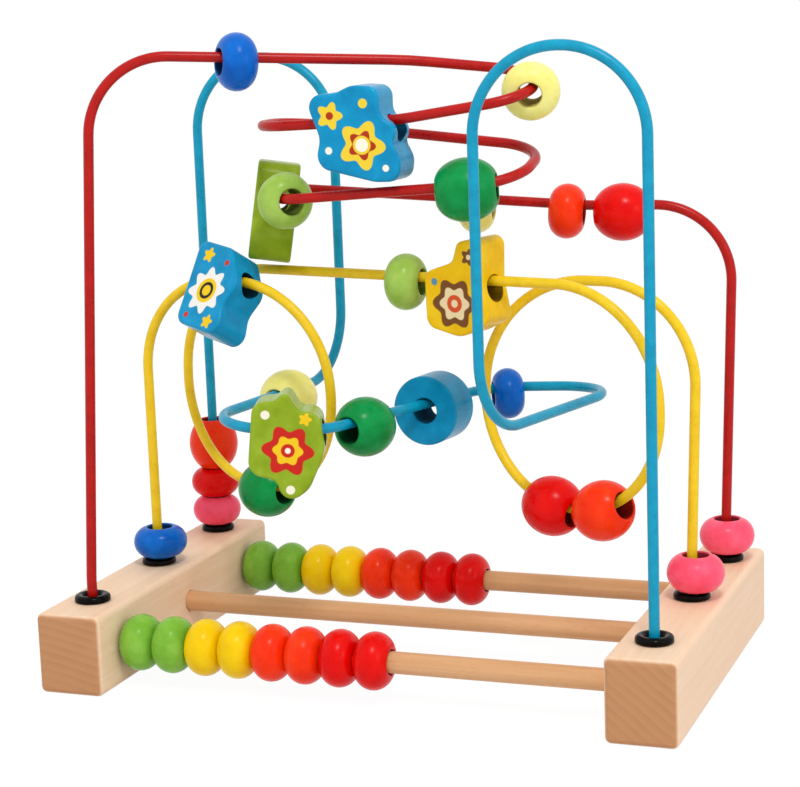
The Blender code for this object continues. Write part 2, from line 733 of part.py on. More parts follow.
def outline_length(outline):
    """How far a rounded outline reaches along the wire."""
    along = [point.x for point in rounded_outline(outline)]
    return max(along) - min(along)


def sawn_pose(outline, wire, place, facing, roll):
    """Pose of a sawn shape hanging on a wire, with the bore's middle as its origin.

    Its outline runs along the wire when facing is 1 and against it when facing is -1. Roll turns the
    shape about the wire, in degrees.
    """
    spot, yaw = spot_at(wire, place), place[3]
    along = Quaternion(UP, math.radians(yaw)) @ spot.heading * facing
    middle = spot.point + hang(spot, SHAPE_BORE, outline_length(outline), yaw)
    return pose_of(middle, along, Quaternion(along, math.radians(roll)) @ UP)


def build_sawn(name, outline, finish, pose, pivot):
    """A sawn shape: a rounded outline with eased edges, bored along its X axis, its origin at a pivot."""
    curve = bpy.data.curves.new(name, "CURVE")
    curve.dimensions = "2D"
    curve.fill_mode = "BOTH"
    curve.extrude = (SHAPE_THICKNESS / 2 - SHAPE_EDGE) * MM
    curve.bevel_depth = SHAPE_EDGE * MM
    curve.bevel_resolution = 0
    curve.offset = -SHAPE_EDGE * MM
    line = rounded_outline(outline)
    spline = curve.splines.new("POLY")
    spline.points.add(len(line) - 1)
    for node, point in zip(spline.points, line):
        node.co = (*(point * MM), 1.0)
    spline.use_cyclic_u = True
    solid = mesh_of_curve(curve)
    centre = Matrix.Translation(pivot * MM)
    solid.transform(centre.inverted() @ pose)
    piece = add_piece(name, solid, finish, centre)
    drill = bmesh.new()
    add_cylinder(drill, SHAPE_BORE, 2 * outline_length(outline), Vector(), Vector((1, 0, 0)))
    cut(piece, mesh_of(name, drill), pose)


def lobed_outline(wire):
    """Outline of the lobed shape, whose lower edge stops just over the run of the coil below it."""
    spot = spot_at(wire, RED_PLACES["shape_lobed"])
    tip = spot.point.x + LOBED_BOTTOM[1][0]
    start, end = wire.stretch(LOWEST_RUN)
    below = start.lerp(end, (start.x - tip) / (start.x - end.x))
    sag = -hang(spot, SHAPE_BORE, 0.0, 0.0).z
    lowest = below.z + WIRE_RADIUS + LOBED_CLEARANCE - (spot.point.z - sag)
    return LOBED_TOP + tuple((u, lowest + height, radius) for u, height, radius in LOBED_BOTTOM)


def build_shapes(red, yellow, blue):
    """The five sawn shapes.

    The pear has its origin at the centre of its bend, the waisted shape on the wire it swings about, and
    the others in their bores.
    """
    lobed = lobed_outline(red)
    pose = sawn_pose(lobed, red, RED_PLACES["shape_lobed"], -1, 0.0)
    build_sawn("red_wire_shape_lobed", lobed, "sky_blue", pose, pose.translation / MM)
    place = RED_PLACES["shape_waisted"]
    pose = sawn_pose(WAISTED_OUTLINE, red, place, 1, WAISTED_ROLL)
    build_sawn("red_wire_shape_waisted", WAISTED_OUTLINE, "olive", pose, spot_at(red, place).point)
    pose = sawn_pose(WAVY_OUTLINE, yellow, YELLOW_PLACES["shape_wavy"], 1, WAVY_ROLL)
    build_sawn("yellow_wire_shape_wavy", WAVY_OUTLINE, "sky_blue", pose, pose.translation / MM)
    pose = sawn_pose(TULIP_OUTLINE, yellow, YELLOW_PLACES["shape_tulip"], 1, 0.0)
    build_sawn("yellow_wire_shape_tulip", TULIP_OUTLINE, "gold", pose, pose.translation / MM)
    place = BLUE_PLACES["shape_pear"]
    pose = sawn_pose(PEAR_OUTLINE, blue, place, 1, 0.0)
    centre = spot_at(blue, place).bend.centre
    build_sawn("blue_wire_shape_pear", PEAR_OUTLINE, "olive", pose, centre)


def build_stacks():
    """The beads that rest on the bushes."""
    build_stack("yellow_wire", -1, 0, [(LOW_BEAD, "blue", "bead_blue")], LEFT_MIDDLE_STRAY)
    build_stack("blue_wire", -1, 1, [
        (SMALL_BEAD, "pink", "bead_pink"),
        (SMALL_BEAD, "red", "bead_red"),
        (SMALL_BALL, "orange", "ball_orange"),
    ])
    build_stack("yellow_wire", 1, 0, [(FLAT_BEAD, "pink", "bead_pink")], RIGHT_MIDDLE_STRAY)
    build_stack("red_wire", 1, 1, [(FLAT_BEAD, "pink", "bead_pink")], RIGHT_REAR_STRAY)


RED_BEADS = {
    "bead_blue": (FLAT_BEAD, "blue"),
    "bead_pale_yellow_front": (NARROW_BEAD, "pale_yellow"),
    "barrel_green": (BARREL, "dark_green"),
    "bead_light_green": (FLAT_BEAD, "light_green"),
    "bead_pale_yellow_rear": (FLAT_BEAD, "pale_yellow"),
    "bead_orange": (FLAT_BEAD, "orange"),
    "ball_red": (BALL, "red"),
}
YELLOW_BEADS = {
    "ball_dark_green": (BALL, "dark_green"),
    "bead_light_green": (FLAT_BEAD, "light_green"),
    "ball_orange": (BALL, "orange"),
    "ball_red": (BALL, "red"),
}
BLUE_BEADS = {
    "ball_pale_yellow": (BALL, "pale_yellow"),
    "ball_dark_green": (BALL, "dark_green"),
    "disc": (DISC, "sky_blue"),
    "bead_blue": (SMALL_BEAD, "blue"),
}


def main():
    """Build the toy: base, bushes, wires, counting rows, and the pieces on each wire."""
    clear_scene()
    for side_name, side in SIDES.items():
        build_end_block(f"end_block_{side_name}", side)
        for row_name, row in ROWS.items():
            build_bush(f"bush_{side_name}_{row_name}", side, row)
    for row_name, row in ROWS.items():
        build_dowel(f"dowel_{row_name}", row)
    build_row("front")
    build_row("rear")
    red, yellow, blue = Wire(red_route()), Wire(yellow_route()), Wire(blue_route())
    build_wire("wire_red", red, "red_wire")
    build_wire("wire_yellow", yellow, "yellow_wire")
    build_wire("wire_blue", blue, "blue_wire")
    build_beads("red_wire", red, RED_PLACES, RED_BEADS)
    build_beads("yellow_wire", yellow, YELLOW_PLACES, YELLOW_BEADS)
    build_beads("blue_wire", blue, BLUE_PLACES, BLUE_BEADS)
    build_shapes(red, yellow, blue)
    build_stacks()


if __name__ == "__main__":
    main()
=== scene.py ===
"""Dress a wooden bead maze: a beech base, three bent wires, turned beads and sawn shapes."""

import logging
import math
from dataclasses import dataclass, field
from enum import Enum
from itertools import product

import bpy
import numpy as np
from bpy.types import Material, Mesh, Node, NodeSocket, NodeTree, Object
from mathutils import Euler, Matrix, Vector


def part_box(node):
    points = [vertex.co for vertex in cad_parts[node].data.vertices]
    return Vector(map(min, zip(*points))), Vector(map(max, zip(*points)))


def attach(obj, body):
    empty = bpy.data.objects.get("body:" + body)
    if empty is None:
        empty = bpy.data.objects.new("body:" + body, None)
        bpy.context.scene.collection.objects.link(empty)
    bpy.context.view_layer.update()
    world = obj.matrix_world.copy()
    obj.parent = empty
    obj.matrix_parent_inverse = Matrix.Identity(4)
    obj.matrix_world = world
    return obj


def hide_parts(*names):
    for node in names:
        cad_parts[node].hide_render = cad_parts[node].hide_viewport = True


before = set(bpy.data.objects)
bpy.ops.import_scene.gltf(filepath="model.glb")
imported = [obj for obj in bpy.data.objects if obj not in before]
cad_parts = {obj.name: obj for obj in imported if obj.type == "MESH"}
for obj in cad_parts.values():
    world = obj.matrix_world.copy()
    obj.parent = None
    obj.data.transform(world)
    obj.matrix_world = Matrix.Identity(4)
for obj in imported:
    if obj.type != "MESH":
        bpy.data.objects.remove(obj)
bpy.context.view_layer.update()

LOG = logging.getLogger("bead_maze")
MM = 0.001
BODY = "frame"
SIDES = ("left", "right")
ROWS = ("front", "middle", "rear")
ALONG_X = np.array([1.0, 0.0, 0.0])
UPWARD = np.array([0.0, 0.0, 1.0])

# Decimals of a metre to which two corners count as the same place.
SAME_PLACE = 7


def linear(code: str) -> tuple[float, float, float, float]:
    """Turn an sRGB hex colour into the linear colour that shaders use.

    Args:
        code: Six hex digits after a hash sign.

    Returns:
        Red, green and blue as linear light, and an alpha of one.
    """
    srgb = np.array([int(code[i : i + 2], 16) for i in (1, 3, 5)]) / 255.0
    light = np.where(srgb <= 0.04045, srgb / 12.92, ((srgb + 0.055) / 1.055) ** 2.4)
    return (*(float(value) for value in light), 1.0)


def per_mm(size: float) -> float:
    """Give the texture scale at which one feature is about size millimetres across."""
    return 1.0 / (size * MM)


def set_up(tree: NodeTree, node: Node, settings: dict) -> None:
    """Set a shader node's values, and link other nodes into it.

    Args:
        tree: The node's tree.
        node: The node that is set up.
        settings: What goes into each input socket, given by name or number: a value, a socket of
            another node, or a node that stands for its first output. The key "stops" takes the
            positions and hex colours of a colour ramp, and any other key is a property.
    """
    for key, value in settings.items():
        if key == "stops":
            ramp = node.color_ramp.elements
            for position, _ in value[2:]:
                ramp.new(position)
            for element, (position, code) in zip(ramp, value):
                element.position = position
                element.color = linear(code)
        elif isinstance(value, Node):
            tree.links.new(value.outputs[0], node.inputs[key])
        elif isinstance(value, NodeSocket):
            tree.links.new(value, node.inputs[key])
        elif isinstance(key, int) or key in node.inputs:
            node.inputs[key].default_value = value
        else:
            setattr(node, key, value)


def add_node(tree: NodeTree, kind: str, settings: dict | None = None) -> Node:
    """Add one shader node with its settings and links.

    Args:
        tree: The material's or the world's node tree.
        kind: The node's type.
        settings: Its values and links, as set_up takes them.

    Returns:
        The new node.
    """
    node = tree.nodes.new(kind)
    set_up(tree, node, settings or {})
    return node


def unit(rows: np.ndarray) -> np.ndarray:
    """Scale each vector of an array to length one."""
    return rows / np.linalg.norm(rows, axis=-1, keepdims=True)


def skin(
    name: str, grid: np.ndarray, round_rows: bool = False, bore: np.ndarray | None = None
) -> Object:
    """Cover a grid of points with four-sided faces, as one closed body.

    Point (i, j) joins its neighbours (i + 1, j) and (i, j + 1). The columns always close on
    themselves. The rows close too where round_rows is set, and otherwise the first and the
    last row each get one flat face. The faces turn outwards: where the body's volume, a third
    of the sum of each face's middle times its area vector, is negative, they are reversed.

    Args:
        name: Name of the object and of its mesh.
        grid: Points in metres, rows by columns by three.
        round_rows: Whether the last row joins the first one.
        bore: For each row, one inside a bore and zero outside, kept as the attribute "bore".

    Returns:
        The new object, with smooth shading.
    """
    rows, columns = grid.shape[:2]
    number = np.arange(rows * columns).reshape(rows, columns)
    if round_rows:
        number = np.vstack((number, number[:1]))
    beside = np.roll(number, -1, axis=1)
    quads = np.stack((number[:-1], beside[:-1], beside[1:], number[1:]), axis=-1).reshape(-1, 4)
    points = grid.reshape(-1, 3)
    corners = points[quads]
    areas = np.cross(corners[:, 2] - corners[:, 0], corners[:, 3] - corners[:, 1]) / 2.0
    middle = points.mean(axis=0)
    volume = np.sum((corners.mean(axis=1) - middle) * areas)
    if volume < 0.0:
        quads = quads[:, ::-1]
    faces = quads.tolist()
    if not round_rows:
        first, last = number[0].tolist(), number[-1].tolist()
        faces += [first, last[::-1]] if volume < 0.0 else [first[::-1], last]
    mesh = bpy.data.meshes.new(name)
    mesh.from_pydata(points.tolist(), [], faces)
    mesh.polygons.foreach_set("use_smooth", np.ones(len(faces), dtype=bool))
    if bore is not None:
        mark = mesh.attributes.new("bore", "FLOAT", "POINT")
        mark.data.foreach_set("value", np.repeat(bore, columns))
    piece = bpy.data.objects.new(name, mesh)
    bpy.context.scene.collection.objects.link(piece)
    return piece


def turned_grid(profile: np.ndarray, middle: np.ndarray, axis: np.ndarray, sides: int) -> np.ndarray:
    """Turn a profile round an axis, as a lathe does.

    The point of profile row (r, z) at angle a is middle + axis * z + (e1 cos a + e2 sin a) * r,
    where e1 and e2 stand square to the axis.

    Args:
        profile: Radius and place along the axis of each row, in metres.
        middle: The piece's middle on its axis.
        axis: Direction of the axis, of length one.
        sides: Number of columns round the axis.

    Returns:
        The grid of points, profile rows by sides by three.
    """
    spare = np.eye(3)[np.argmin(np.abs(axis))]
    first = unit(np.cross(axis, spare))
    second = np.cross(axis, first)
    angles = np.linspace(0.0, 2.0 * math.pi, sides, endpoint=False)
    outward = np.outer(np.cos(angles), first) + np.outer(np.sin(angles), second)
    along = middle + profile[:, 1:] * axis
    return along[:, None, :] + profile[:, 0, None, None] * outward


def cut(piece: Object, cutter: Object) -> None:
    """Take a cutter's body out of a piece, and delete the cutter.

    Args:
        piece: The piece that is cut.
        cutter: A closed body.
    """
    modifier = piece.modifiers.new("cut", "BOOLEAN")
    modifier.object = cutter
    modifier.solver = "EXACT"
    depsgraph = bpy.context.evaluated_depsgraph_get()
    mesh = bpy.data.meshes.new_from_object(piece.evaluated_get(depsgraph))
    piece.modifiers.clear()
    old = piece.data
    name = old.name
    piece.data = mesh
    bpy.data.meshes.remove(old)
    mesh.name = name
    bpy.data.objects.remove(cutter)


def bend(
    corner: np.ndarray, radius: float, first: np.ndarray, second: np.ndarray, step: float, least: int
) -> np.ndarray:
    """Round the corner between two straight stretches.

    A bend of radius r that turns by the angle t starts r tan(t / 2) before the corner. Its point
    at the angle a is the start, plus r sin a along the first stretch and r (1 - cos a) towards
    the bend's inside.

    Args:
        corner: The place where the two stretches would meet.
        radius: The bend's radius.
        first: Direction of the stretch before the bend, of length one.
        second: Direction of the stretch after it, of length one.
        step: Largest angle between two points, in degrees.
        least: Fewest steps in the bend.

    Returns:
        Points from the bend's start to its end, one row each.
    """
    turn = math.acos(np.clip(first @ second, -1.0, 1.0))
    start = corner - first * radius * math.tan(turn / 2.0)
    inward = unit(second - first * (first @ second))
    steps = max(least, math.ceil(math.degrees(turn) / step))
    angles = np.linspace(0.0, turn, steps + 1)[:, None]
    return start + radius * (np.sin(angles) * first + (1.0 - np.cos(angles)) * inward)


def mesh_points(mesh: Mesh) -> np.ndarray:
    """Give a mesh's points in metres, one row each."""
    points = np.empty(len(mesh.vertices) * 3)
    mesh.vertices.foreach_get("co", points)
    return points.reshape(-1, 3)


def node_box(node: str) -> tuple[np.ndarray, np.ndarray]:
    """Give the low and the high corner of a CAD node's box, in millimetres."""
    low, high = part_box(node)
    return np.array(low) / MM, np.array(high) / MM


def node_axis(node: str) -> tuple[np.ndarray, np.ndarray]:
    """Find the middle and the axis of a round CAD node.

    A round body spreads equally in the two directions square to its axis, so the axis is the
    main direction whose spread is furthest from the middle one of the three. Corners that
    several faces share count once.

    Args:
        node: Name of the CAD node.

    Returns:
        The middle in metres, and the axis with length one.
    """
    points = np.unique(mesh_points(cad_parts[node].data).round(SAME_PLACE), axis=0)
    middle = points.mean(axis=0)
    spreads, directions = np.linalg.eigh(np.cov((points - middle).T))
    lone = 0 if spreads[1] - spreads[0] > spreads[2] - spreads[1] else 2
    return middle, directions[:, lone]


def settle(
    piece: Object, node: str, body: str, finish: "Finish", crease: float
) -> None:
    """Put a finished piece in its CAD node's stead and report it.

    Args:
        piece: The finished piece, in place.
        node: CAD node that it stands for.
        body: Body that it moves with.
        finish: The finish that it wears.
        crease: Angle between two faces, in degrees, past which their edge looks sharp.
    """
    piece.data.set_sharp_from_angle(angle=math.radians(crease))
    piece.data.materials.clear()
    piece.data.materials.append(finish.material())
    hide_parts(node)
    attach(piece, body)
    LOG.info("%s: %d faces, %s", piece.name, len(piece.data.polygons), finish.name)


class Grain(Enum):
    """The way that the wood's grain runs."""

    ALONG_X = 0
    ALONG_Y = 1


@dataclass(frozen=True)
class Finish:
    """What every finish shares: a name, and one material that is made when it is first asked for."""

    name: str

    def material(self) -> Material:
        """Give this finish's material, made once."""
        ready = bpy.data.materials.get(self.name)
        if ready is None:
            ready = bpy.data.materials.new(self.name)
            ready.use_nodes = True
            self.shade(ready.node_tree, ready.node_tree.nodes["Principled BSDF"])
        return ready

    def shade(self, tree: NodeTree, surface: Node) -> None:
        """Build the finish's nodes.

        Args:
            tree: The material's node tree.
            surface: The shader that the nodes feed.
        """
        raise NotImplementedError


@dataclass(frozen=True)
class Sheen:
    """How a finish shines: a roughness that varies with a noise, and a faint relief.

    The relief's depth is in millimetres, and its strength is the share of it that shows. A noise
    lies mostly inside noise_span, over which the roughness goes from its first value to its
    second.
    """

    roughness: tuple[float, float]
    ior: float
    specular: float
    depth: float = 0.0
    strength: float = 0.0
    noise_span: tuple[float, float] = (0.3, 0.7)

    def lay(self, tree: NodeTree, surface: Node, mottle: Node, relief: Node | None = None) -> Node:
        """Give a surface its gloss and its relief.

        Args:
            tree: The material's node tree.
            surface: The shader that gets them.
            mottle: Noise that the roughness follows.
            relief: Noise that the relief follows, where there is any.

        Returns:
            The roughness.
        """
        low, high = self.noise_span
        smooth, dull = self.roughness
        uneven = {"From Min": low, "From Max": high, "To Min": smooth, "To Max": dull}
        rough = add_node(tree, "ShaderNodeMapRange", {**uneven, "Value": mottle})
        set_up(tree, surface, {"Roughness": rough, "IOR": self.ior, "Specular IOR Level": self.specular})
        if relief is not None:
            height = {"Strength": self.strength, "Distance": self.depth * MM}
            bump = add_node(tree, "ShaderNodeBump", {**height, "Height": relief})
            set_up(tree, surface, {"Normal": bump})
        return rough


@dataclass(frozen=True)
class GlossPaint(Finish):
    """Gloss lacquer paint, tumbled or dipped onto turned and sawn wood. Sizes in millimetres.

    The coat pools a little and shows deeper patches about a centimetre across, a soft sheen,
    and a faint ripple where the wood grain shows through. The real ripple is too fine to show,
    so it is drawn coarser. Inside a bore the paint is thin and rough, and its colour is
    darkened there as painted shade in the recess, a little of it from the thin paint.
    """

    colour: str
    deep: str
    light: str
    patch: float = 9.0
    tone_stops: tuple[float, float, float] = (0.3, 0.52, 0.75)
    ripple: float = 2.4
    # Share of the deep tone left inside a bore: painted shade in the recess.
    bore_shade_tone: float = 0.3
    bore_roughness: float = 0.95
    sheen: Sheen = Sheen((0.2, 0.3), ior=1.5, specular=0.13, depth=0.08, strength=0.05)

    def body_colour(self, tree: NodeTree, place: NodeSocket) -> NodeSocket:
        """Mix the paint's three tones by soft patches.

        Args:
            tree: The material's node tree.
            place: Object coordinates.

        Returns:
            The colour socket.
        """
        soft = {"Scale": per_mm(self.patch), "Detail": 3.0, "Roughness": 0.55}
        patches = add_node(tree, "ShaderNodeTexNoise", {**soft, "Vector": place})
        stops = tuple(zip(self.tone_stops, (self.deep, self.colour, self.light)))
        return add_node(tree, "ShaderNodeValToRGB", {"stops": stops, 0: patches}).outputs[0]

    def shade(self, tree: NodeTree, surface: Node) -> None:
        """Build the paint's nodes: patches of tone, painted shade in the bore, uneven gloss and a fine
        ripple.
        """
        place = add_node(tree, "ShaderNodeTexCoord").outputs["Object"]
        inside = add_node(tree, "ShaderNodeAttribute", {"attribute_name": "bore"}).outputs["Fac"]
        # Painted shade: inside the bore the deep tone is darkened, standing in for the shade in the recess.
        bore_shade_colour = (*(value * self.bore_shade_tone for value in linear(self.deep)[:3]), 1.0)
        tones = {0: inside, 6: self.body_colour(tree, place), 7: bore_shade_colour}
        colour = add_node(tree, "ShaderNodeMix", {"data_type": "RGBA", **tones})
        waves = {"Scale": per_mm(self.ripple), "Detail": 2.0}
        fine = add_node(tree, "ShaderNodeTexNoise", {**waves, "Vector": place})
        gloss = self.sheen.lay(tree, surface, fine, fine)
        thinned = {0: inside, 1: self.bore_roughness}
        dull = add_node(tree, "ShaderNodeMath", {"operation": "MULTIPLY", **thinned})
        rough = add_node(tree, "ShaderNodeMath", {"operation": "MAXIMUM", 0: gloss, 1: dull})
        set_up(tree, surface, {"Base Color": colour.outputs[2], "Roughness": rough})


class Ink(Enum):
    """The printing inks, as sRGB hex colours."""

    BUTTER = "#F3D33A"
    BRICK = "#B4371B"
    CREAM = "#FBF6E2"
    WHITE = "#F1F0EA"
    YOLK = "#F2CB1C"
    BLACK = "#26221F"
    TOMATO = "#D2331F"
    BROWN = "#7A4A22"
    SAND = "#F0D9A8"
    RUST = "#D9542B"
    SLATE_BLUE = "#5D8FA8"
    CRIMSON = "#C9261B"
    MAIZE = "#F2C71F"
    IVORY = "#F6EFD8"


@dataclass(frozen=True)
class Rosette:
    """One layer of a printed flower: a disc or ring whose rim waves in and out as petals.

    The middle (u, v) and the radii are in millimetres on the shape's face. depth is the petals'
    depth as a share of the outer radius, and turn is in degrees.
    """

    u: float
    v: float
    outer: float
    ink: Ink
    inner: float = 0.0
    petals: int = 0
    depth: float = 0.0
    turn: float = 0.0


@dataclass(frozen=True)
class PrintedPaint(GlossPaint):
    """Gloss paint on a sawn shape, with plain flowers screen printed on its front face.

    The print lies flat in the lacquer, with a crisp edge of about a third of a millimetre.
    """

    layers: tuple[Rosette, ...] = ()
    face: float = 8.2
    edge: float = 0.3

    def body_colour(self, tree: NodeTree, place: NodeSocket) -> NodeSocket:
        """Lay the printed rosettes over the paint, where the face attribute says front face.

        A rosette covers a point whose distance from its middle is below
        outer * (1 + depth * cos(petals * angle + turn)) and above inner.

        Args:
            tree: The material's node tree.
            place: Object coordinates.

        Returns:
            The colour socket.
        """
        colour = super().body_colour(tree, place)
        spot = add_node(tree, "ShaderNodeAttribute", {"attribute_name": "face_mm"}).outputs["Vector"]
        axes = add_node(tree, "ShaderNodeSeparateXYZ", {0: spot}).outputs
        front = add_node(tree, "ShaderNodeMath", {"operation": "GREATER_THAN", 0: axes[2], 1: self.face})
        half = self.edge / 2.0
        for layer in self.layers:
            across = add_node(tree, "ShaderNodeMath", {"operation": "SUBTRACT", 0: axes[0], 1: layer.u})
            upward = add_node(tree, "ShaderNodeMath", {"operation": "SUBTRACT", 0: axes[1], 1: layer.v})
            arm = add_node(tree, "ShaderNodeCombineXYZ", {0: across, 1: upward})
            reach = add_node(tree, "ShaderNodeVectorMath", {"operation": "LENGTH", 0: arm}).outputs["Value"]
            angle = add_node(tree, "ShaderNodeMath", {"operation": "ARCTAN2", 0: upward, 1: across})
            count = {1: float(layer.petals), 2: math.radians(layer.turn)}
            swing = add_node(tree, "ShaderNodeMath", {"operation": "MULTIPLY_ADD", 0: angle, **count})
            wave = add_node(tree, "ShaderNodeMath", {"operation": "COSINE", 0: swing})
            size = {1: layer.outer * layer.depth, 2: layer.outer}
            rim = add_node(tree, "ShaderNodeMath", {"operation": "MULTIPLY_ADD", 0: wave, **size})
            within = add_node(tree, "ShaderNodeMath", {"operation": "SUBTRACT", 0: rim, 1: reach})
            outside = {"From Min": -half, "From Max": half}
            cover = add_node(tree, "ShaderNodeMapRange", {**outside, "Value": within})
            hole = {"From Min": layer.inner - self.edge, "From Max": layer.inner}
            beyond = add_node(tree, "ShaderNodeMapRange", {**hole, "Value": reach})
            ring = add_node(tree, "ShaderNodeMath", {"operation": "MULTIPLY", 0: cover, 1: beyond})
            printed = add_node(tree, "ShaderNodeMath", {"operation": "MULTIPLY", 0: ring, 1: front})
            tones = {0: printed, 6: colour, 7: linear(layer.ink.value)}
            colour = add_node(tree, "ShaderNodeMix", {"data_type": "RGBA", **tones}).outputs[2]
        return colour


@dataclass(frozen=True)
class PowderCoat(Finish):
    """Powder coat baked onto steel wire. Sizes in millimetres.

    It has an even tone with slightly thinner, paler spots, a satin gloss and a fine orange peel.
    """

    colour: str
    deep: str
    spot: float = 5.0
    tone_stops: tuple[float, float] = (0.35, 0.62)
    peel: float = 0.6
    sheen: Sheen = Sheen((0.24, 0.36), ior=1.5, specular=0.22, depth=0.05, strength=0.06)

    def shade(self, tree: NodeTree, surface: Node) -> None:
        """Build the coat's nodes: two tones, uneven gloss and orange peel."""
        place = add_node(tree, "ShaderNodeTexCoord").outputs["Object"]
        soft = {"Scale": per_mm(self.spot), "Detail": 3.0}
        spots = add_node(tree, "ShaderNodeTexNoise", {**soft, "Vector": place})
        stops = tuple(zip(self.tone_stops, (self.deep, self.colour)))
        tones = add_node(tree, "ShaderNodeValToRGB", {"stops": stops, 0: spots})
        fine = {"Scale": per_mm(self.peel), "Detail": 1.0}
        peel = add_node(tree, "ShaderNodeTexNoise", {**fine, "Vector": place})
        self.sheen.lay(tree, surface, spots, peel)
        set_up(tree, surface, {"Base Color": tones})


@dataclass(frozen=True)
class MouldedPlastic(Finish):
    """Black nylon, injection moulded with a polished tool. Sizes in millimetres.

    It is deep black with a clear gloss, faint flow marks and a few dull rubbed spots.
    """

    colour: str
    worn: str
    flow_mark: float = 3.5
    tone_stops: tuple[float, float] = (0.4, 0.75)
    sheen: Sheen = Sheen((0.14, 0.26), ior=1.53, specular=0.08, noise_span=(0.35, 0.7))

    def shade(self, tree: NodeTree, surface: Node) -> None:
        """Build the plastic's nodes: flow marks in tone and in gloss."""
        place = add_node(tree, "ShaderNodeTexCoord").outputs["Object"]
        marks = {"Scale": per_mm(self.flow_mark), "Detail": 4.0}
        flow = add_node(tree, "ShaderNodeTexNoise", {**marks, "Vector": place})
        stops = tuple(zip(self.tone_stops, (self.colour, self.worn)))
        tones = add_node(tree, "ShaderNodeValToRGB", {"stops": stops, 0: flow})
        self.sheen.lay(tree, surface, flow)
        set_up(tree, surface, {"Base Color": tones})


@dataclass(frozen=True)
class BeechWood(Finish):
    """Beech, planed and sanded, under a thin clear varnish. Sizes in millimetres.

    Long faces show pale straight grain and short dark flecks. Faces sawn across the grain are
    darker, because the open ends of the wood take more varnish, and show the arcs of the rings,
    which come and go over the face.
    """

    grain: Grain
    pale: str
    warm: str
    fleck: str
    end_pale: str
    end_dark: str
    grain_width: float = 2.6
    grain_length: float = 70.0
    grain_stops: tuple[float, float] = (0.28, 0.66)
    fleck_width: float = 0.5
    fleck_length: float = 3.2
    fleck_strength: float = 0.25
    ring_spacing: float = 3.4
    ring_fade: float = 9.0
    ring_stops: tuple[float, float] = (0.1, 0.75)
    ring_middle: tuple[float, float, float] = (0.0, 0.0, 0.0)
    sheen: Sheen = Sheen((0.42, 0.56), ior=1.45, specular=0.25, depth=0.06, strength=0.15)

    def stretched(
        self,
        tree: NodeTree,
        place: NodeSocket,
        width: float,
        length: float,
        detail: float,
    ) -> Node:
        """Draw noise whose marks run along the grain.

        Args:
            tree: The material's node tree.
            place: Object coordinates.
            width: Size of a mark across the grain, in millimetres.
            length: Size of a mark along the grain, in millimetres.
            detail: Finer layers of the noise.

        Returns:
            The noise.
        """
        scale = [per_mm(width)] * 3
        scale[self.grain.value] = per_mm(length)
        spot = add_node(tree, "ShaderNodeMapping", {"Scale": scale, "Vector": place})
        marks = {"Scale": 1.0, "Detail": detail, "Distortion": 0.3}
        return add_node(tree, "ShaderNodeTexNoise", {**marks, "Vector": spot})

    def end_face(self, tree: NodeTree, place: NodeSocket) -> Node:
        """Draw the end grain: rings round the tree's middle, which fade in and out.

        Args:
            tree: The material's node tree.
            place: Object coordinates.

        Returns:
            The colour of the end grain.
        """
        offset = [-part * MM for part in self.ring_middle]
        centred = add_node(tree, "ShaderNodeMapping", {"Location": offset, "Vector": place})
        kind = {"wave_type": "RINGS", "wave_profile": "SAW", "rings_direction": "XYZ"[self.grain.value]}
        spacing = {"Scale": per_mm(self.ring_spacing) * math.pi / 10.0}
        wander = {"Distortion": 2.4, "Detail": 3.0, "Detail Scale": 0.35}
        arcs = {**kind, **spacing, **wander, "Vector": centred}
        rings = add_node(tree, "ShaderNodeTexWave", arcs).outputs["Fac"]
        soft = {"Scale": per_mm(self.ring_fade), "Detail": 2.0}
        fading = add_node(tree, "ShaderNodeTexNoise", {**soft, "Vector": place})
        faint = add_node(tree, "ShaderNodeMath", {"operation": "MULTIPLY", 0: rings, 1: fading})
        stops = tuple(zip(self.ring_stops, (self.end_pale, self.end_dark)))
        return add_node(tree, "ShaderNodeValToRGB", {"stops": stops, 0: faint})

    def shade(self, tree: NodeTree, surface: Node) -> None:
        """Build the wood's nodes: grain, flecks, end grain with rings, varnish sheen and pores."""
        coordinates = add_node(tree, "ShaderNodeTexCoord").outputs
        place = coordinates["Object"]
        bands = self.stretched(tree, place, self.grain_width, self.grain_length, 4.0)
        stops = tuple(zip(self.grain_stops, (self.warm, self.pale)))
        plain = add_node(tree, "ShaderNodeValToRGB", {"stops": stops, 0: bands})
        dashes = self.stretched(tree, place, self.fleck_width, self.fleck_length, 1.0)
        sparse = {"From Min": 0.6, "From Max": 0.76, "To Max": self.fleck_strength}
        marks = add_node(tree, "ShaderNodeMapRange", {**sparse, "Value": dashes})
        tones = {0: marks, 6: plain, 7: linear(self.fleck)}
        flecked = add_node(tree, "ShaderNodeMix", {"data_type": "RGBA", **tones}).outputs[2]
        facing = add_node(tree, "ShaderNodeSeparateXYZ", {0: coordinates["Normal"]}).outputs
        turned = add_node(tree, "ShaderNodeMath", {"operation": "ABSOLUTE", 0: facing[self.grain.value]})
        sawn = {"From Min": 0.45, "From Max": 0.85}
        crosscut = add_node(tree, "ShaderNodeMapRange", {**sawn, "Value": turned})
        faces = {0: crosscut, 6: flecked, 7: self.end_face(tree, place)}
        wood = add_node(tree, "ShaderNodeMix", {"data_type": "RGBA", **faces}).outputs[2]
        self.sheen.lay(tree, surface, bands, dashes)
        set_up(tree, surface, {"Base Color": wood})


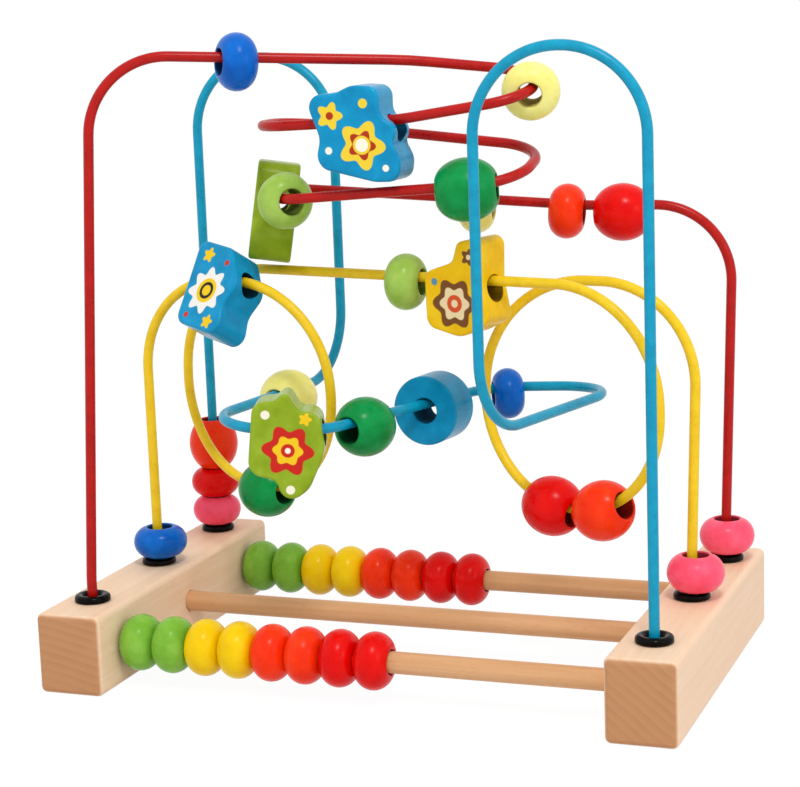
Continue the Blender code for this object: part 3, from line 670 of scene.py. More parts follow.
PAINTS = {
    "red": GlossPaint("gloss_paint_red", "#E60603", "#D80402", "#EC120A"),
    "orange": GlossPaint("gloss_paint_orange", "#FA350A", "#EF2A06", "#FE4417"),
    "yellow": GlossPaint("gloss_paint_yellow", "#F5CB02", "#EDBF02", "#FAD516"),
    "green": GlossPaint("gloss_paint_grass_green", "#80BA3C", "#72AC30", "#92C650"),
    "dark_green": GlossPaint("gloss_paint_leaf_green", "#059044", "#047F3A", "#0E9C50"),
    # The light green and pale yellow paints keep more of their deep tone in the painted bore shade.
    "light_green": GlossPaint(
        "gloss_paint_light_green", "#A0C454", "#92B847", "#B0D068", bore_shade_tone=0.45
    ),
    "pale_yellow": GlossPaint(
        "gloss_paint_pale_yellow", "#F6EE88", "#EFE476", "#FAF49C", bore_shade_tone=0.6
    ),
    "blue": GlossPaint("gloss_paint_blue", "#0463C4", "#0356B2", "#0B70D2"),
    "sky_blue": GlossPaint("gloss_paint_sky_blue", "#0E92C4", "#0984B4", "#189FD0"),
    "pink": GlossPaint("gloss_paint_pink", "#FF5876", "#F84866", "#FF6E8A"),
    "olive": GlossPaint("gloss_paint_olive", "#8FAA22", "#829D18", "#9EB736"),
    "gold": GlossPaint("gloss_paint_gold", "#F4C40A", "#EAB704", "#F8CF24"),
}

COATS = {
    "red": PowderCoat("powder_coat_red", "#BA120C", "#AE0D08"),
    "yellow": PowderCoat("powder_coat_yellow", "#F6CF24", "#EEC41A"),
    "blue": PowderCoat("powder_coat_blue", "#089DC1", "#0691B6"),
}

BUSH_PLASTIC = MouldedPlastic("moulded_nylon_black", "#030202", "#0B0908")

BLOCK_BEECH = BeechWood(
    "varnished_beech_planed",
    Grain.ALONG_Y,
    pale="#F6D7B9",
    warm="#F1CBA8",
    fleck="#D9A67C",
    end_pale="#C48E63",
    end_dark="#B8825A",
    ring_middle=(-200.0, 0.0, -380.0),
)

DOWEL_BEECH = BeechWood(
    "varnished_beech_dowel",
    Grain.ALONG_X,
    pale="#E0AE80",
    warm="#D29C6C",
    fleck="#AE7A4C",
    end_pale="#D6A87E",
    end_dark="#B98760",
)


@dataclass
class Studio:
    """The plain white set: a floor, soft lamps, white surroundings and the camera.

    The camera's angles, distance and aim come from the photograph's calibration, in degrees
    and millimetres, and its focal length is in pixels of a picture 800 pixels wide. Each lamp
    has a name, a place and a size in metres, and a power in watts.
    """

    azimuth: float = 20.741
    elevation: float = 10.574
    roll: float = -2.053
    distance: float = 850.0
    aim: tuple[float, float, float] = (-7.797, 13.903, 105.165)
    focal: float = 2111.508
    picture_width: float = 800.0
    sensor: float = 36.0
    floor_size: float = 6.0
    lamps: tuple[tuple[str, tuple[float, float, float], float, float], ...] = (
        ("lamp_above", (0.4, -0.7, 1.25), 0.25, 7.0),
        ("lamp_right", (1.2, -0.55, 0.55), 0.4, 1.3),
        ("lamp_left", (-0.9, -0.9, 0.8), 0.9, 0.9),
    )
    clip_start: float = 0.01
    ambient: float = 0.77
    floor_glow: float = 0.95
    paper: str = "#E6E6E6"
    paper_shown: str = "#4A4A4A"

    def place_camera(self) -> None:
        """Stand the camera where the photograph was taken from."""
        turn, tilt, lean = (math.radians(a) for a in (self.azimuth, self.elevation, self.roll))
        back = Vector((math.sin(turn) * math.cos(tilt), -math.cos(turn) * math.cos(tilt), math.sin(tilt)))
        right = Vector((math.cos(turn), math.sin(turn), 0.0))
        upward = back.cross(right)
        across = right * math.cos(lean) + upward * math.sin(lean)
        over = upward * math.cos(lean) - right * math.sin(lean)
        camera = bpy.data.objects.new("camera", bpy.data.cameras.new("camera"))
        bpy.context.scene.collection.objects.link(camera)
        place = (Vector(self.aim) + back * self.distance) * MM
        turned = Matrix((across, over, back)).transposed().to_4x4()
        camera.matrix_world = Matrix.Translation(place) @ turned
        camera.data.sensor_width = self.sensor
        camera.data.sensor_fit = "HORIZONTAL"
        camera.data.lens = self.focal * self.sensor / self.picture_width
        camera.data.clip_start = self.clip_start
        bpy.context.scene.camera = camera

    def hang_lamps(self) -> None:
        """Hang square soft lamps that face the object."""
        aim = Vector(self.aim) * MM
        for name, place, size, power in self.lamps:
            lamp = bpy.data.objects.new(name, bpy.data.lights.new(name, "AREA"))
            lamp.data.shape = "SQUARE"
            lamp.data.size = size
            lamp.data.energy = power
            lamp.location = place
            lamp.rotation_euler = (aim - Vector(place)).to_track_quat("-Z", "Y").to_euler()
            bpy.context.scene.collection.objects.link(lamp)

    def seen(self, tree: NodeTree) -> Node:
        """Give one for rays from the camera, in reflections and through glass, and else zero.

        Args:
            tree: The node tree that asks.

        Returns:
            The node whose first output says so.
        """
        path = add_node(tree, "ShaderNodeLightPath").outputs
        straight = {0: path["Is Camera Ray"], 1: path["Is Glossy Ray"]}
        near = add_node(tree, "ShaderNodeMath", {"operation": "MAXIMUM", **straight})
        through = {0: near, 1: path["Is Transmission Ray"]}
        return add_node(tree, "ShaderNodeMath", {"operation": "MAXIMUM", **through})

    def surround(self) -> None:
        """Make the surroundings white to the eye and a soft even light to the object."""
        world = bpy.data.worlds.new("white_surroundings")
        world.use_nodes = True
        bpy.context.scene.world = world
        tree = world.node_tree
        tree.nodes.clear()
        colour = linear("#FFFFFF")
        even = add_node(tree, "ShaderNodeBackground", {"Color": colour, "Strength": self.ambient})
        white = add_node(tree, "ShaderNodeBackground", {"Color": colour, "Strength": 1.0})
        mix = add_node(tree, "ShaderNodeMixShader", {0: self.seen(tree), 1: even, 2: white})
        add_node(tree, "ShaderNodeOutputWorld", {"Surface": mix})

    def lay_floor(self) -> None:
        """Lay a white paper floor that keeps a faint shadow."""
        half = self.floor_size / 2.0
        mesh = bpy.data.meshes.new("floor")
        corners = [(-half, -half, 0.0), (half, -half, 0.0), (half, half, 0.0), (-half, half, 0.0)]
        mesh.from_pydata(corners, [], [(0, 1, 2, 3)])
        floor = bpy.data.objects.new("floor", mesh)
        bpy.context.scene.collection.objects.link(floor)
        material = bpy.data.materials.new("white_paper")
        material.use_nodes = True
        tree = material.node_tree
        tree.nodes.clear()
        paper = add_node(tree, "ShaderNodeBsdfDiffuse", {"Color": linear(self.paper)})
        faint = add_node(tree, "ShaderNodeBsdfDiffuse", {"Color": linear(self.paper_shown)})
        glow = add_node(tree, "ShaderNodeEmission", {"Strength": self.floor_glow})
        shown = add_node(tree, "ShaderNodeAddShader", {0: faint, 1: glow})
        mix = add_node(tree, "ShaderNodeMixShader", {0: self.seen(tree), 1: paper, 2: shown})
        add_node(tree, "ShaderNodeOutputMaterial", {"Surface": mix})
        mesh.materials.append(material)

    def build(self) -> None:
        """Set up the whole studio."""
        self.place_camera()
        self.hang_lamps()
        self.surround()
        self.lay_floor()
        bpy.context.scene.view_settings.view_transform = "Standard"
        LOG.info("studio: camera, %d lamps and a floor", len(self.lamps))


@dataclass
class Base:
    """The two beech end blocks, and the three dowels that join them. Sizes in millimetres."""

    edge_round: float = 2.5
    end_share: float = 0.9
    edge_steps: int = 8
    support: float = 0.25
    dowel_sides: int = 64
    dowel_edge: float = 0.6
    socket_gap: float = 0.25
    hole_radius: float = 4.2
    hole_reach: float = 5.0
    hole_sides: int = 48
    crease: float = 32.0

    def section(self, half_width: float, half_height: float, inset: float) -> np.ndarray:
        """Draw a rectangle with rounded corners, drawn in by an inset.

        Each corner is a quarter circle of radius edge_round - inset, with one more point a
        short way along each straight side, so that the flat faces keep their shading.

        Args:
            half_width: Half of the rectangle's width.
            half_height: Half of its height.
            inset: How far the outline is drawn in.

        Returns:
            Points across and up, one row each, in millimetres.
        """
        radius = self.edge_round - inset
        angles = np.linspace(0.0, math.pi / 2.0, self.edge_steps + 1)
        arc = np.stack((np.cos(angles), np.sin(angles)), axis=1) * radius
        before = np.array([[radius, -self.support]])
        after = np.array([[-self.support, radius]])
        corner = np.vstack((before, arc, after))
        middle = np.array([half_width, half_height]) - self.edge_round
        turns = [np.array([[c, -s], [s, c]]) for c, s in ((1, 0), (0, 1), (-1, 0), (0, -1))]
        centres = middle * np.array([(1, 1), (-1, 1), (-1, -1), (1, -1)])
        return np.vstack([corner @ turn.T + centre for turn, centre in zip(turns, centres)])

    def block(self, side: str) -> Object:
        """Plane one end block: a rounded rectangle carried along Y, drawn in at both ends.

        At the angle a of an end's rounding, the section is drawn in by s r (1 - sin a) and stands
        r (1 - cos a) from the end, with r the rounding's radius and s its share on the end face.

        Args:
            side: Which block.

        Returns:
            The block, with sockets for the dowels and holes for the bushes.
        """
        node = f"end_block_{side}"
        low, high = node_box(node)
        half = (high - low) / 2.0
        middle = (high + low) / 2.0
        angles = np.linspace(0.0, math.pi / 2.0, self.edge_steps + 1)
        insets = self.edge_round * self.end_share * (1.0 - np.sin(angles))
        rounding = [self.section(half[0], half[2], inset) for inset in insets]
        cap = self.section(half[0] - self.support, half[2] - self.support, insets[0])
        flank = self.section(half[0], half[2], 0.0)
        sections = np.stack((cap, *rounding, flank))
        depths = self.edge_round * (1.0 - np.cos(angles))
        depths = np.concatenate(([0.0], depths, [self.edge_round + self.support]))
        stations = np.concatenate((depths - half[1], (half[1] - depths)[::-1]))
        outlines = np.concatenate((sections, sections[::-1]))
        grid = np.empty((len(stations), outlines.shape[1], 3))
        grid[..., 0] = outlines[..., 0] + middle[0]
        grid[..., 1] = stations[:, None] + middle[1]
        grid[..., 2] = outlines[..., 1] + middle[2]
        piece = skin(f"{node}_planed", grid * MM)
        for row in ROWS:
            cut(piece, self.socket(row))
            cut(piece, self.hole(f"bush_{side}_{row}"))
        return piece

    def rod(self, name: str, row: str, gap: float = 0.0) -> Object:
        """Turn a rod with the size and place of a dowel.

        The profile is a straight line at the rod's radius, with a short chamfer at each end.

        Args:
            name: Name of the rod.
            row: Which dowel.
            gap: How much larger than the dowel it is, on every side.

        Returns:
            The rod.
        """
        low, high = node_box(f"dowel_{row}")
        middle = (high + low) / 2.0
        radius = (high[2] - low[2]) / 2.0 + gap
        reach = (high[0] - low[0]) / 2.0 + gap
        edge = self.dowel_edge
        half = [(radius - edge, reach), (radius, reach - edge), (radius, reach - edge * 2.0)]
        profile = np.vstack((np.array(half) * (1.0, -1.0), half[::-1]))
        return skin(name, turned_grid(profile * MM, middle * MM, ALONG_X, self.dowel_sides))

    def socket(self, row: str) -> Object:
        """Make the body of a dowel's two sockets."""
        return self.rod("socket", row, self.socket_gap)

    def hole(self, bush: str) -> Object:
        """Make the body of a bush's hole: a straight round bar down to the foot of its sleeve.

        Args:
            bush: The bush's CAD node.

        Returns:
            The bar.
        """
        low, high = node_box(bush)
        middle = (low + high) / 2.0
        reach = (high[2] - low[2]) / 2.0
        ends = np.array([-reach - self.socket_gap, reach + self.hole_reach])
        profile = np.stack((np.full(2, self.hole_radius), ends), axis=1)
        return skin("hole", turned_grid(profile * MM, middle * MM, UPWARD, self.hole_sides))

    def build(self) -> None:
        """Build and dress both blocks and the three dowels."""
        for side in SIDES:
            block = self.block(side)
            settle(block, f"end_block_{side}", BODY, BLOCK_BEECH, self.crease)
        for row in ROWS:
            rod = self.rod(f"dowel_{row}_turned", row)
            settle(rod, f"dowel_{row}", BODY, DOWEL_BEECH, self.crease)


@dataclass
class Bushes:
    """The six black bushes that hold the wires' feet. Sizes in millimetres."""

    flange_radius: float = 7.1
    flange_height: float = 2.7
    waist: float = 1.215
    foot_inset: float = 0.25
    foot_height: float = 0.3
    dimple_radius: float = 3.4
    dimple_depth: float = 1.5
    chamfer: float = 0.2
    bore_radius: float = 2.3
    sleeve_radius: float = 4.0
    sleeve_depth: float = 9.0
    arc_steps: int = 20
    sides: int = 64
    crease: float = 38.0

    def profile(self) -> np.ndarray:
        """Draw half of a bush: a round ring round a dimple, over a plain sleeve.

        The ring's top is half an ellipse that stands at the height of the waist, between the
        dimple and the flange's rim.

        Returns:
            Radius and height above the block's top, one row each, as a closed loop.
        """
        angles = np.linspace(0.0, math.pi, self.arc_steps + 1)
        across = (self.flange_radius + self.dimple_radius) / 2.0
        across = across + (self.flange_radius - self.dimple_radius) / 2.0 * np.cos(angles)
        upward = self.waist + (self.flange_height - self.waist) * np.sin(angles)
        ring = np.stack((across, upward), axis=1)
        foot = [(self.flange_radius - self.foot_inset, 0.0), (self.flange_radius, self.foot_height)]
        floor = self.flange_height - self.dimple_depth
        inside = [
            (self.dimple_radius, floor + self.chamfer),
            (self.dimple_radius - self.chamfer, floor),
            (self.bore_radius + self.chamfer, floor),
            (self.bore_radius, floor - self.chamfer),
            (self.bore_radius, -self.sleeve_depth),
            (self.sleeve_radius, -self.sleeve_depth),
            (self.sleeve_radius, 0.0),
        ]
        return np.vstack((foot, ring, inside))

    def build(self) -> None:
        """Build and dress the six bushes."""
        profile = self.profile()
        for side, row in product(SIDES, ROWS):
            node = f"bush_{side}_{row}"
            low, high = node_box(node)
            place = (low + high) / 2.0
            place[2] = high[2] - self.flange_height
            grid = turned_grid(profile * MM, place * MM, UPWARD, self.sides)
            piece = skin(f"{node}_moulded", grid, round_rows=True)
            settle(piece, node, BODY, BUSH_PLASTIC, self.crease)


@dataclass(frozen=True)
class Loop:
    """One upright loop of the yellow wire, on the left (-1) or the right (1), in millimetres.

    The wire goes round it clockwise and drifts back by pitch in a full turn. shifts are how far
    along and how far up each corner lies off a plain rectangle. middle is the right loop's, and
    the left loop stands opposite. turn is how far the right side comes forward, in degrees.
    """

    side: int
    shifts: tuple[tuple[float, float], ...]
    middle: tuple[float, float, float] = (67.9, -7.7, 109.5)
    half_width: float = 45.6
    half_height: float = 43.5
    pitch: float = 15.7
    turn: float = 21.5
    radius: float = 42.85

    def corners(self) -> list[tuple[float, float, float, float]]:
        """Work out the loop's four corners, each with the radius of its bend."""
        around = np.array(((1, 1), (1, -1), (-1, -1), (-1, 1)))
        reach, rise = (around * (self.half_width, self.half_height) + self.shifts).T
        steps = np.arange(len(around))
        drift = self.pitch * (steps - steps.mean()) / len(around)
        turn = math.radians(self.turn)
        x, y, z = self.middle
        across = self.side * x + reach * math.cos(turn) + drift * math.sin(turn)
        back = self.side * y - reach * math.sin(turn) + drift * math.cos(turn)
        return [(*place, self.radius) for place in zip(across, back, z + rise)]


@dataclass
class Wire:
    """One bent wire: straight stretches joined by round bends. Sizes in millimetres.

    Each corner is the place where two stretches would meet, and the radius of the bend there.
    """

    colour: str
    corners: tuple[tuple[float, float, float, float], ...]
    radius: float = 2.0
    sides: int = 20
    bend_step: float = 4.0
    least_steps: int = 2
    straight_step: float = 6.0
    trials: int = 7
    trial_shift: float = 2.9
    crease: float = 50.0

    def path(self) -> np.ndarray:
        """Work out the points along the wire's middle, in millimetres and in order."""
        corners = np.array(self.corners)
        places, radii = corners[:, :3], corners[:, 3]
        headings = unit(np.diff(places, axis=0))
        runs = [places[:1]]
        for place, radius, first, second in zip(places[1:], radii[1:], headings, headings[1:]):
            arc = bend(place, radius, first, second, self.bend_step, self.least_steps)
            runs += [self.stretch(runs[-1][-1], arc[0]), arc]
        runs += [self.stretch(runs[-1][-1], places[-1]), places[-1:]]
        return np.vstack(runs)

    def stretch(self, start: np.ndarray, end: np.ndarray) -> np.ndarray:
        """Give the points between the two ends of a straight stretch."""
        steps = max(1, round(float(np.linalg.norm(end - start)) / self.straight_step))
        return start + (end - start) * (np.arange(1, steps) / steps)[:, None]

    def build(self) -> None:
        """Carry a circle along the path, and dress it.

        The circle's two directions are square to the path: the first is the path's heading
        crossed with the direction that is furthest from every heading. That direction is picked
        from a coarse cube of trial directions, shifted so that none of them has no length.
        """
        node = f"wire_{self.colour}"
        path = self.path()
        heading = unit(np.gradient(path, axis=0))
        cube = np.indices((self.trials,) * 3).reshape(3, -1).T
        guesses = unit(cube - self.trial_shift)
        slack = np.abs(heading @ guesses.T).max(axis=0)
        first = unit(np.cross(heading, guesses[np.argmin(slack)]))
        second = np.cross(heading, first)
        angles = np.linspace(0.0, 2.0 * math.pi, self.sides, endpoint=False)
        ring = np.cos(angles)[:, None] * first[:, None, :] + np.sin(angles)[:, None] * second[:, None, :]
        grid = path[:, None, :] + ring * self.radius
        piece = skin(f"{node}_bent", grid * MM)
        settle(piece, node, BODY, COATS[self.colour], self.crease)


WIRES = (
    Wire(
        "red",
        (
            (-113.3, -58.0, 23.0, 0.0),
            (-113.3, -58.0, 41.0, 60.0),
            (-103.1, -53.5, 244.5, 30.0),
            (7.5, -4.0, 238.25, 150.0),
            (51.5, 20.0, 232.0, 14.0),
            (59.8, -20.0, 224.3, 14.0),
            (7.5, -20.0, 216.6, 110.0),
            (-54.0, -20.0, 214.4, 18.5),
            (-54.0, 20.0, 214.4, 18.5),
            (54.0, 20.0, 202.9, 18.5),
            (54.0, -20.0, 193.1, 18.5),
            (-41.0, -20.0, 186.5, 14.0),
            (-69.5, 35.0, 186.5, 14.0),
            (60.0, 54.0, 177.0, 60.0),
            (118.9, 58.0, 177.0, 30.0),
            (115.0, 58.0, 41.0, 60.0),
            (115.0, 58.0, 23.0, 0.0),
        ),
    ),
    Wire(
        "yellow",
        (
            (-113.3, 0.0, 23.0, 0.0),
            (-113.3, 0.0, 153.0, 38.0),
            *Loop(-1, ((0.0, 0.0), (0.0, 0.0), (0.0, 0.0), (0.0, 1.2))).corners(),
            *Loop(1, ((0.0, 2.4), (0.0, 2.0), (0.0, 0.0), (5.0, 0.0))).corners(),
            (117.2, 0.0, 153.0, 38.0),
            (113.9, 0.0, 41.0, 60.0),
            (113.9, 0.0, 23.0, 0.0),
        ),
    ),
    Wire(
        "blue",
        (
            (-113.3, 58.0, 23.0, 0.0),
            (-113.3, 58.0, 241.8, 31.28),
            (-50.1, 58.0, 236.8, 31.28),
            (-50.1, 58.0, 105.0, 28.0),
            (-65.1, -57.0, 105.0, 24.4),
            (-17.0, -57.0, 103.0, 24.4),
            (17.0, 57.0, 100.8, 24.4),
            (76.1, 57.0, 103.2, 24.4),
            (50.1, -58.0, 104.2, 28.0),
            (50.1, -58.0, 243.8, 31.28),
            (113.3, -58.0, 243.8, 31.28),
            (113.3, -58.0, 23.0, 0.0),
        ),
    ),
)


@dataclass(frozen=True)
class BeadForm:
    """The sizes of a turned bead, in millimetres.

    belly is the radius of the flat that the rounded side starts from, and lip is the width of
    the ring round each mouth of the bore. lip_depth is a share of that width. edge is the
    radius of a disc's rims, and hold the width of the strips beside them that keep the
    shading of the flat faces.
    """

    diameter: float
    length: float
    bore: float
    belly: float = 0.0
    lip: float = 0.7
    edge: float = 0.0
    lip_steps: int = 6
    lip_depth: float = 1.2
    hold: float = 0.25

    def side(self, steps: int) -> np.ndarray:
        """Draw the outside from one lip to the other.

        A rounded side runs along the ellipse (belly + span cos t, rise sin t), cut off where it
        meets the lips. A disc has a straight side with quarter circles of radius edge.

        Args:
            steps: Number of steps along the side.

        Returns:
            Radius and place along the axis, one row each.
        """
        inner = self.bore / 2.0 + self.lip
        if self.edge:
            angles = np.linspace(math.pi / 2.0, 0.0, steps // 4 + 1)
            corner = np.stack(
                (
                    self.diameter / 2.0 + self.edge * (np.cos(angles) - 1.0),
                    self.length / 2.0 + self.edge * (np.sin(angles) - 1.0),
                ),
                axis=1,
            )
            hold = np.array([(inner, self.length / 2.0), (corner[0, 0] - self.hold, self.length / 2.0)])
            rest = np.array([(corner[-1, 0], corner[-1, 1] - self.hold)])
            half = np.vstack((hold, corner, rest))
            return np.vstack((half, (half * (1.0, -1.0))[::-1]))
        span = self.diameter / 2.0 - self.belly
        end = math.acos((inner - self.belly) / span)
        rise = self.length / 2.0 / math.sin(end)
        angles = np.linspace(end, -end, steps + 1)
        return np.stack((self.belly + span * np.cos(angles), rise * np.sin(angles)), axis=1)

    def profile(self, steps: int = 44) -> np.ndarray:
        """Close the side with two rounded lips and a straight bore.

        Each lip is a quarter ellipse from the side's end to the wall of the bore.

        Args:
            steps: Number of steps along the side.

        Returns:
            Radius and place along the axis in millimetres, as a closed loop.
        """
        angles = np.linspace(0.0, math.pi / 2.0, self.lip_steps + 1)[1:]
        depth = self.lip * self.lip_depth
        lip = np.stack(
            (
                self.bore / 2.0 + self.lip * (1.0 - np.sin(angles)),
                self.length / 2.0 - depth * (1.0 - np.cos(angles)),
            ),
            axis=1,
        )
        return np.vstack((self.side(steps), lip * (1.0, -1.0), lip[::-1]))

    def depth_marks(self, rows: int) -> np.ndarray:
        """Mark the profile's rows: zero on the side, rising over each lip to one in the bore.

        Args:
            rows: Number of rows in the profile.

        Returns:
            One value per row.
        """
        rise = np.arange(1, self.lip_steps + 1) / self.lip_steps
        return np.concatenate((np.zeros(rows - 2 * self.lip_steps), rise, rise[::-1]))


class Form(Enum):
    """The forms of turned bead."""

    ROW = BeadForm(22.2, 13.7, 9.4, belly=4.35)
    FLAT = BeadForm(22.2, 14.0, 10.0, belly=4.3)
    NARROW = BeadForm(22.2, 14.0, 9.0, belly=4.3)
    LOW = BeadForm(22.2, 12.6, 10.0, belly=5.0)
    SMALL = BeadForm(21.0, 12.4, 10.0, belly=4.4)
    BALL = BeadForm(23.2, 22.0, 10.0)
    SMALL_BALL = BeadForm(21.2, 21.6, 10.0)
    BARREL = BeadForm(24.2, 23.0, 10.0, belly=3.0)
    DISC = BeadForm(27.9, 16.4, 10.0, edge=0.8)


@dataclass
class Beads:
    """All turned beads: two counting rows on the dowels, and the beads threaded on the wires.

    threaded gives each wire bead's form and paint under the name of its CAD node.
    """

    sides: int = 72
    crease: float = 50.0
    row_colours: tuple[str, ...] = ("green", "green", "yellow", "yellow", "orange", "orange", "red", "red")
    rows: tuple[str, ...] = ("front", "rear")
    threaded: dict[str, tuple[Form, str]] = field(
        default_factory=lambda: {
            "red_wire_bead_blue": (Form.FLAT, "blue"),
            "red_wire_bead_pale_yellow_front": (Form.NARROW, "pale_yellow"),
            "red_wire_barrel_green": (Form.BARREL, "dark_green"),
            "red_wire_bead_light_green": (Form.FLAT, "light_green"),
            "red_wire_bead_pale_yellow_rear": (Form.FLAT, "pale_yellow"),
            "red_wire_bead_orange": (Form.FLAT, "orange"),
            "red_wire_ball_red": (Form.BALL, "red"),
            "red_wire_bead_pink": (Form.FLAT, "pink"),
            "yellow_wire_bead_blue": (Form.LOW, "blue"),
            "yellow_wire_ball_dark_green": (Form.BALL, "dark_green"),
            "yellow_wire_bead_light_green": (Form.FLAT, "light_green"),
            "yellow_wire_ball_orange": (Form.BALL, "orange"),
            "yellow_wire_ball_red": (Form.BALL, "red"),
            "yellow_wire_bead_pink": (Form.FLAT, "pink"),
            "blue_wire_bead_pink": (Form.SMALL, "pink"),
            "blue_wire_bead_red": (Form.SMALL, "red"),
            "blue_wire_ball_orange": (Form.SMALL_BALL, "orange"),
            "blue_wire_ball_pale_yellow": (Form.BALL, "pale_yellow"),
            "blue_wire_ball_dark_green": (Form.BALL, "dark_green"),
            "blue_wire_disc": (Form.DISC, "sky_blue"),
            "blue_wire_bead_blue": (Form.SMALL, "blue"),
        }
    )

    def bead(self, node: str, form: Form, colour: str) -> None:
        """Turn and paint one bead where its CAD node is.

        Args:
            node: CAD node, and the body of the same name.
            form: The bead's form.
            colour: Its paint.
        """
        middle, axis = node_axis(node)
        profile = form.value.profile() * MM
        grid = turned_grid(profile, middle, axis, self.sides)
        marks = form.value.depth_marks(len(profile))
        piece = skin(f"{node}_turned", grid, round_rows=True, bore=marks)
        settle(piece, node, node, PAINTS[colour], self.crease)

    def build(self) -> None:
        """Build both rows, then the beads on the wires."""
        for row in self.rows:
            for i, colour in enumerate(self.row_colours, start=1):
                self.bead(f"{row}_row_bead_{i}_{colour}", Form.ROW, colour)
        for node, (form, colour) in self.threaded.items():
            self.bead(node, form, colour)


@dataclass
class SawnShape:
    """One shape sawn from a board, rounded over, bored for its wire, painted and printed.

    The outline's corners are along the wire, up from the bore, and the corner's radius, in
    millimetres. middle is the middle of the bore. turn is in degrees, about X, then Y, then Z, and
    starts from a shape that lies on its back with its bore along X.
    """

    node: str
    slot: str
    layers: tuple[Rosette, ...]
    outline: tuple[tuple[float, float, float], ...]
    middle: tuple[float, float, float]
    turn: tuple[float, float, float]
    thickness: float = 17.0
    bore: float = 10.6
    bore_sides: int = 48
    drill_spare: float = 5.0
    edge: float = 1.2
    edge_steps: int = 6
    support: float = 0.3
    corner_step: float = 5.0
    least_steps: int = 3
    crease: float = 32.0

    def finish(self) -> GlossPaint:
        """Give the shape's paint, with a print over it where it has layers."""
        paint = PAINTS[self.slot]
        if not self.layers:
            return paint
        name = f"screen_printed_paint_{self.node.partition('_shape_')[2]}"
        return PrintedPaint(name, paint.colour, paint.deep, paint.light, layers=self.layers)

    def rounded(self) -> np.ndarray:
        """Round the outline's corners.

        Returns:
            Points along and up in millimetres, in order round the shape.
        """
        corners = np.array(self.outline)
        places, radii = corners[:, :2], corners[:, 2]
        into = unit(places - np.roll(places, 1, axis=0))
        stretches = zip(places, radii, into, np.roll(into, -1, axis=0))
        return np.vstack([bend(*stretch, self.corner_step, self.least_steps) for stretch in stretches])

    def rows(self) -> tuple[np.ndarray, np.ndarray]:
        """Give the inset and the height of each ring of the shape's skin.

        Both rims are quarter circles of radius edge, with one more ring on each flat face.

        Returns:
            The insets and the heights above the board's middle, in millimetres.
        """
        angles = np.linspace(0.0, math.pi / 2.0, self.edge_steps + 1)
        beyond = self.edge + self.support
        insets = np.concatenate(([beyond], self.edge * (1.0 - np.sin(angles)), [0.0]))
        depths = np.concatenate(([0.0], self.edge * (1.0 - np.cos(angles)), [beyond]))
        heights = self.thickness / 2.0 - depths
        return np.concatenate((insets, insets[::-1])), np.concatenate((heights, -heights[::-1]))

    def drill(self) -> Object:
        """Make the body of the bore."""
        reach = max(abs(corner[0]) for corner in self.outline) + self.drill_spare
        profile = np.array([(self.bore / 2.0, -reach), (self.bore / 2.0, reach)])
        grid = turned_grid(profile, np.zeros(3), ALONG_X, self.bore_sides)
        return skin("drill", grid * MM)

    def mark(self, mesh: Mesh) -> None:
        """Keep two attributes: each point's place on the face, and one on the faces of the bore.

        No corner of a face of the bore is further from the bore's axis than the bore's radius.

        Args:
            mesh: The shape's mesh, still lying along its own axes.
        """
        points = mesh_points(mesh) / MM
        places = mesh.attributes.new("face_mm", "FLOAT_VECTOR", "POINT")
        places.data.foreach_set("vector", points.ravel())
        corners = np.empty(len(mesh.loops), dtype=int)
        mesh.loops.foreach_get("vertex_index", corners)
        starts = np.empty(len(mesh.polygons), dtype=int)
        mesh.polygons.foreach_get("loop_start", starts)
        reach = np.linalg.norm(points[:, 1:], axis=1)
        furthest = np.maximum.reduceat(reach[corners], starts)
        inside = mesh.attributes.new("bore", "FLOAT", "FACE")
        inside.data.foreach_set("value", (furthest < self.bore / 2.0 + self.support).astype(float))

    def build(self) -> None:
        """Carry the rim's profile round the outline, bore the shape, mark its face and place it.

        A ring's point is the outline's point moved inwards by the ring's inset.
        """
        line = self.rounded()
        following = np.roll(line, -1, axis=0)
        ahead = unit(following - np.roll(line, 1, axis=0))
        inward = np.stack((-ahead[:, 1], ahead[:, 0]), axis=1)
        inward *= np.sign(np.sum(line[:, 0] * following[:, 1] - line[:, 1] * following[:, 0]))
        insets, heights = self.rows()
        grid = np.empty((len(insets), len(line), 3))
        grid[..., :2] = line + insets[:, None, None] * inward
        grid[..., 2] = heights[:, None]
        piece = skin(f"{self.node}_sawn", grid * MM)
        cut(piece, self.drill())
        mesh = piece.data
        self.mark(mesh)
        turn = Euler(np.radians(self.turn)).to_matrix().to_4x4()
        mesh.transform(Matrix.Translation(Vector(self.middle) * MM) @ turn)
        settle(piece, self.node, self.node, self.finish(), self.crease)


